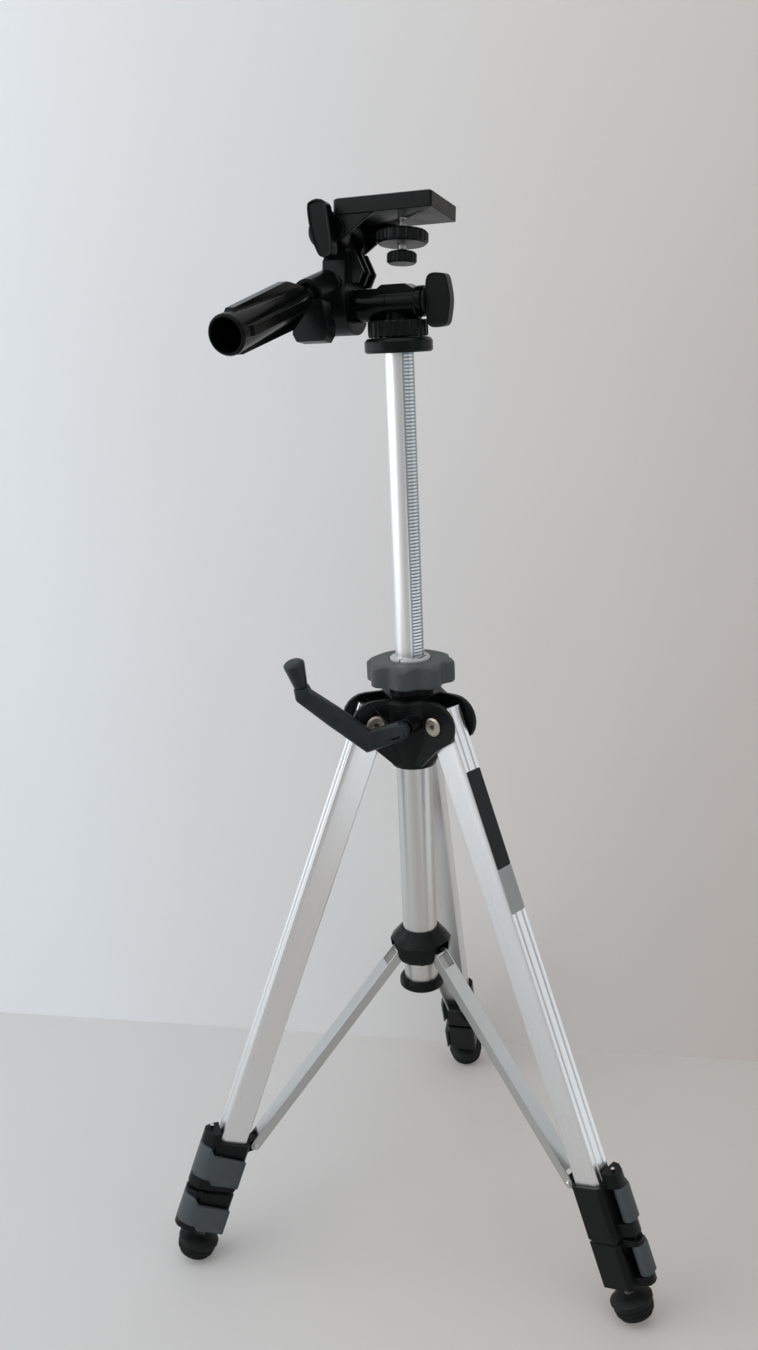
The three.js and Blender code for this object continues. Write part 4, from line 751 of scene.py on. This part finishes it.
# the pan housing: a barrel along the tilt axis with a low saddle on top, on a round neck
housing = {"radius": 11.4, "start": -31, "end": 17.2, "drop": -1.1, "edge": 0.8,
           "seam": -5, "seamHalf": 0.4, "seamRise": 0.25,
           "pin": 6, "pinEnd": -45, "pinEdge": 0.6, "washer": 10.6, "washerEnd": 20.7, "overlap": 1,
           "neck": 10, "neckLow": -11.9, "neckHigh": -2, "saddleHalf": 8.4, "soft": 0.0009,
           "saddle": [(-14.6, 3), (-14.0, 8.4), (-8.4, 12.2), (9.2, 12.2), (16.4, 8.4), (16.8, 3)]}
alongTilt = turned(90, "Y")
r, low, high, edge = housing["radius"], housing["start"], housing["end"], housing["edge"]
seam, half, rise = housing["seam"], housing["seamHalf"], housing["seamRise"]
barrel = turnedMesh([
    (0, low), (r - edge, low), (r, low + edge), (r, seam - half), (r + rise, seam - half / 2),
    (r + rise, seam + half / 2), (r, seam + half), (r, high - edge), (r - edge, high), (0, high)], 56)
barrel.transform(moved(0, 0, housing["drop"]) @ alongTilt)
r, edge, start, end = housing["pin"], housing["pinEdge"], housing["pinEnd"], housing["washerEnd"]
under, over = low + housing["overlap"], high - housing["overlap"]
spindle = turnedMesh([
    (0, start), (r - edge, start), (r, start + edge), (r, under), (r, over), (housing["washer"], over),
    (housing["washer"], end), (0, end)], 40)
spindle.transform(alongTilt)
saddle = slabMesh([(x, -z) for x, z in housing["saddle"]], -housing["saddleHalf"], housing["saddleHalf"])
saddle.transform(turned(-90, "X"))
r, low, high = housing["neck"], housing["neckLow"], housing["neckHigh"]
neck = turnedMesh([(0, low), (r, low), (r, high), (0, high)], 48)
body = linkPiece("pan_housing", joinedMesh([barrel, spindle, saddle, neck]), headAxes, "pan_head", "glossPlastic")
softenPiece(body, housing["soft"])
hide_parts("pan_body")

# the solid bottom of the grip's bore, which closes the grip's wall between its ribs
gripCore = {"x": -48, "z": 17, "slope": 20.6,
            "profile": [(0, -102), (10.3, -102), (10.74, -101), (10.72, -97), (10.5, -90), (0, -90)]}
gripAxes = tiltAxes @ moved(gripCore["x"], 0, gripCore["z"]) @ turned(gripCore["slope"] - 90, "X")
linkPiece("grip_core", turnedMesh(gripCore["profile"], 48), gripAxes, "pan_handle", "glossPlastic")

# dark sheets at the floors of the square sockets in both ends of the leg bolts: painted shade for the shallow recesses
socket = {"half": 1.5, "low": 15.7, "high": 16.2, "turn": 45}
square = [(x * socket["half"], y * socket["half"]) for x, y in ((-1, -1), (1, -1), (1, 1), (-1, 1))]
for side in legAngles:
    shadeSheets = []
    for around in (90, -90):
        shadeSheets.append(slabMesh(square, socket["low"], socket["high"]))
        shadeSheets[-1].transform(turned(around, "X") @ turned(socket["turn"], "Z"))
    linkPiece(f"{side}_bolt_sockets", joinedMesh(shadeSheets), pivotAxes(side), "stand", "socketPaintedShade")

# domed ends of the lever pins, on top of each lock's ear
leverPin = {"depth": 20.5, "width": 2, "radius": 1.5, "dome": 0.7, "sunk": 0.6, "upper": -356.3, "lower": -408.6}
r, h, low = leverPin["radius"], leverPin["dome"], -leverPin["sunk"]
dome = [(0, low), (r, low), (r, h * 0.25), (r * 0.85, h * 0.65), (r * 0.5, h * 0.92), (0, h)]
for side in legAngles:
    for level, body in (("upper", f"{side}_leg"), ("lower", f"{side}_middle_section")):
        place = legAxes(side) @ moved(leverPin["depth"], leverPin["width"], leverPin[level])
        linkPiece(f"{side}_{level}_pin_end", turnedMesh(dome, 20), place, body, "zinc")

# brace rivets, foot threads and the rings moulded round the feet
brace = {"onLeg": (-20, 0, -368), "onCollar": (20, 0, 244), "rivets": {"Across": 15.9, "Radius": 2.1, "Height": 0.7}}
studThread = {"above": 9.4, "sizes": {"Radius": 3.62, "Length": 5.2, "Turns": 5.0, "Ridge": 0.18}}
foot = {"across": 15.2, "drop": 11.4, "rings": (-6.4, -3.4, -0.4), "ring": 0.45, "sunk": 0.8}
for side in legAngles:
    low, high = legAxes(side) @ Vector(brace["onLeg"]), spokeAxes(side) @ Vector(brace["onCollar"])
    lean = atan2(hypot(*(low - high).xy), high.z - low.z)
    braceAxes = Matrix.Translation(low) @ turned(legAngles[side], "Z") @ Matrix.Rotation(-lean, 4, "Y") @ mm
    mesh = meshFromTree(braceRivets, "zinc", {"Run": (high - low).length * 1000, **brace["rivets"]})
    linkPiece(f"{side}_brace_rivets", mesh, braceAxes, f"{side}_brace_arm", "zinc")

    body, footAxes = f"{side}_lower_section", legAxes(side) @ moved(0, 0, -legLength)
    mesh = meshFromTree(woundThread, "zinc", studThread["sizes"])
    linkPiece(f"{side}_stud_thread", mesh, legAxes(side) @ moved(0, 0, -legLength + studThread["above"]), body, "zinc")
    for count, height in enumerate(foot["rings"]):
        around, r = foot["across"] * (1 - (height / foot["drop"]) ** 2) ** 0.5, foot["ring"]
        inner = around - foot["sunk"]
        profile = [(inner, height - r * 1.6), (around + r * 0.6, height - r), (around + r * 0.9, height),
                   (around + r * 0.6, height + r), (inner, height + r * 1.6), (inner, height - r * 1.6)]
        linkPiece(f"{side}_foot_ring_{count + 1}", turnedMesh(profile, 48), footAxes, body, "footRubber")

# the camera screw's thread and the pad's studs, in the tilting body's axes
screw = {"place": (4.6, -3.5, 34.6), "sizes": {"Radius": 3.14, "Length": 32.0, "Turns": 25.0, "Ridge": 0.17}}
thread = meshFromTree(woundThread, "zinc", screw["sizes"])
linkPiece("screw_thread", thread, tiltAxes @ moved(*screw["place"]), "screw", "zinc")
pad = {"place": (-1.25, -3.5, 67.35),
       "sizes": {"Long": 66.0, "Wide": 41.0, "Pitch": 2.4, "Stud": 1.3, "Hole X": 5.8, "Hole": 5.6}}
studs = meshFromTree(padStuds, "padRubber", pad["sizes"])
linkPiece("pad_studs", studs, tiltAxes @ moved(*pad["place"]), "platform", "padRubber")

# the screw and its collar in the side of the tilting body
armScrew = {
    "place": (-40, -19.2, 12.6),
    "collar": [(2.6, -0.4), (4.9, -0.4), (4.9, 0.7), (4.5, 1.1), (3.5, 1.1), (3.1, 0.7), (2.6, 0.6), (2.6, -0.4)],
    "screw": [(0, -0.4), (2.5, -0.4), (2.5, 0.5), (2.1, 0.95), (1.35, 1.05), (1.1, 0.95), (1.05, 0.1), (0, 0.1)]}
armAxes = tiltAxes @ moved(*armScrew["place"]) @ facing
collar = turnedMesh(armScrew["collar"], 32)
linkPiece("arm_screw_collar", collar, armAxes, "tilt_head", "blackPlastic")
linkPiece("arm_screw", turnedMesh(armScrew["screw"], 24), armAxes, "tilt_head", "zinc")
print("added pieces made")


# stage, camera and light
stage = {"floor": 5.0, "wallNear": 0.236, "wallTurn": 2.9, "wallHigh": 3.2, "rough": 0.6, "glow": 0.19,
         "floorLeft": (0.58, 0.58, 0.58), "floorRight": (0.56, 0.53, 0.50),
         "wallLeft": (0.78, 0.81, 0.83), "wallRight": (0.605, 0.555, 0.515), "toneFrom": -0.45, "toneTo": 0.35,
         "cloudScale": 2.2, "cloudDepth": 0.15, "cloudMiddle": 0.07,
         "paneFrom": 0.5, "paneTo": 0.75, "paneGlow": 0.62, "paneColour": (0.86, 0.94, 1.0),
         "farFrom": -1.0, "farTo": -0.6, "farGlow": 0.25}


# painted light: the tone changes from left to right, paler and bluer on the left; gloss also mirrors a painted glowing
# pane on the right and a faint painted glow far left
def stagePlane(name, matrix, width, depth, leftColour, rightColour, oneSided):
    mesh = bpy.data.meshes.new(name)
    corners = [(x * width / 2, y * depth / 2, 0) for x, y in ((-1, -1), (1, -1), (1, 1), (-1, 1))]
    mesh.from_pydata([matrix @ Vector(corner) for corner in corners], [], [(0, 1, 2, 3)])
    thing = bpy.data.objects.new(name, mesh)
    bpy.context.scene.collection.objects.link(thing)
    material, tree, shader = newMaterial(name)
    position = objectPosition(tree)
    place = splitVector(tree, position)
    # the left-to-right tone is painted light from the window side
    across = mapRange(tree, place["X"], stage["toneFrom"], stage["toneTo"], 0.0, 1.0)
    cloud = mathNode(tree, "MULTIPLY", noiseNode(tree, position, stage["cloudScale"], 4.0), stage["cloudDepth"])
    uneven = mathNode(tree, "SUBTRACT", cloud, stage["cloudMiddle"])
    tone = mixColours(tree, mathNode(tree, "ADD", across, uneven, clamp=True), leftColour, rightColour)
    path = addNode(tree, "ShaderNodeLightPath").outputs
    # painted reflections: the planes glow only in gloss, as a window pane on the right and faintly far left
    pane = mapRange(tree, place["X"], stage["paneFrom"], stage["paneTo"], 0.0, 1.0)
    far = mapRange(tree, place["X"], stage["farFrom"], stage["farTo"], stage["farGlow"], 0.0)
    both = mathNode(tree, "ADD", mathNode(tree, "MULTIPLY", pane, stage["paneGlow"]), far)
    mirrored = mathNode(tree, "MULTIPLY", both, path["Is Glossy Ray"])
    plain = mathNode(tree, "MULTIPLY", seenDirectly(tree, path), stage["glow"])
    tree.links.new(tone, shader.inputs["Base Color"])
    tree.links.new(mixColours(tree, pane, tone, stage["paneColour"]), shader.inputs["Emission Color"])
    tree.links.new(mathNode(tree, "ADD", plain, mirrored), shader.inputs["Emission Strength"])
    shader.inputs["Roughness"].default_value = stage["rough"]
    if oneSided:
        behind = addNode(tree, "ShaderNodeNewGeometry").outputs["Backfacing"]
        clear = addNode(tree, "ShaderNodeBsdfTransparent").outputs[0]
        mix = addNode(tree, "ShaderNodeMixShader", {0: behind, 1: shader.outputs[0], 2: clear})
        tree.links.new(mix.outputs[0], tree.nodes["Material Output"].inputs["Surface"])
    mesh.materials.append(material)


floorPlace = Matrix.Translation(axisFoot)
wallPlace = floorPlace @ turned(stage["wallTurn"], "Z") @ moved(0, stage["wallNear"], stage["wallHigh"] / 2)
stagePlane("floor", floorPlace, stage["floor"], stage["floor"], stage["floorLeft"], stage["floorRight"], False)
stagePlane("wall", wallPlace @ turned(90, "X"), stage["floor"], stage["wallHigh"], stage["wallLeft"],
           stage["wallRight"], True)

# places are measured from the foot of the column's axis
eye = {"place": (0.1817, -0.8422, 0.7217), "turn": (74.229, 2.462, 13.109), "lens": 30.96, "sensor": 36,
       "near": 0.01}
cameraData = bpy.data.cameras.new("camera")
cameraData.lens, cameraData.sensor_width, cameraData.clip_start = eye["lens"], eye["sensor"], eye["near"]
camera = bpy.data.objects.new("camera", cameraData)
bpy.context.scene.collection.objects.link(camera)
turn = Euler([radians(angle) for angle in eye["turn"]]).to_matrix().to_4x4()
camera.matrix_world = Matrix.Translation(axisFoot + Vector(eye["place"])) @ turn
bpy.context.scene.camera = camera

lampTarget = (0, 0, 0.4)
lamps = {
    "windowLeft": {"place": (-2.0, -0.8, 1.4), "size": (2.5, 2.5), "power": 32, "colour": (0.93, 0.97, 1.0)},
    "softRight": {"place": (1.9, -0.9, 1.2), "size": (1.2, 1.6), "power": 3, "colour": (1.0, 0.985, 0.96)},
    "softTop": {"place": (0.1, -0.5, 2.2), "size": (1.8, 1.4), "power": 8, "colour": (1.0, 1.0, 1.0)},
}
for name, lamp in lamps.items():
    data = bpy.data.lights.new(name, "AREA")
    data.shape = "RECTANGLE"
    data.size, data.size_y = lamp["size"]
    data.energy = lamp["power"]
    data.color = lamp["colour"]
    thing = bpy.data.objects.new(name, data)
    bpy.context.scene.collection.objects.link(thing)
    thing.location = axisFoot + Vector(lamp["place"])
    thing.rotation_euler = (Vector(lampTarget) - Vector(lamp["place"])).to_track_quat("-Z", "Y").to_euler()

# the room lights the object evenly; what is seen of it directly is brighter towards one side
room = {"lightColour": (0.93, 0.95, 1.0), "lightStrength": 0.40, "seenColour": (1.0, 0.99, 0.97), "middle": 0.58,
        "towards": (-0.30, 0.12, 0.14), "least": 0.2, "most": 0.85}
world = bpy.data.worlds.new("room")
bpy.context.scene.world = world
world.use_nodes = True
sky = world.node_tree
sky.nodes.clear()
heading = addNode(sky, "ShaderNodeTexCoord").outputs["Generated"]
slant = addNode(sky, "ShaderNodeVectorMath", {0: heading, 1: room["towards"]}, operation="DOT_PRODUCT")
level = mathNode(sky, "ADD", slant.outputs["Value"], room["middle"])
level = mathNode(sky, "MAXIMUM", level, room["least"])
level = mathNode(sky, "MINIMUM", level, room["most"])
light = addNode(sky, "ShaderNodeBackground", {"Color": (*room["lightColour"], 1), "Strength": room["lightStrength"]})
seen = addNode(sky, "ShaderNodeBackground", {"Color": (*room["seenColour"], 1), "Strength": level})
direct = seenDirectly(sky, addNode(sky, "ShaderNodeLightPath").outputs)
blend = addNode(sky, "ShaderNodeMixShader", {0: direct, 1: light.outputs[0], 2: seen.outputs[0]})
addNode(sky, "ShaderNodeOutputWorld", {"Surface": blend.outputs[0]})
bpy.context.scene.view_settings.view_transform = "Standard"
print("stage, camera and lamps placed")
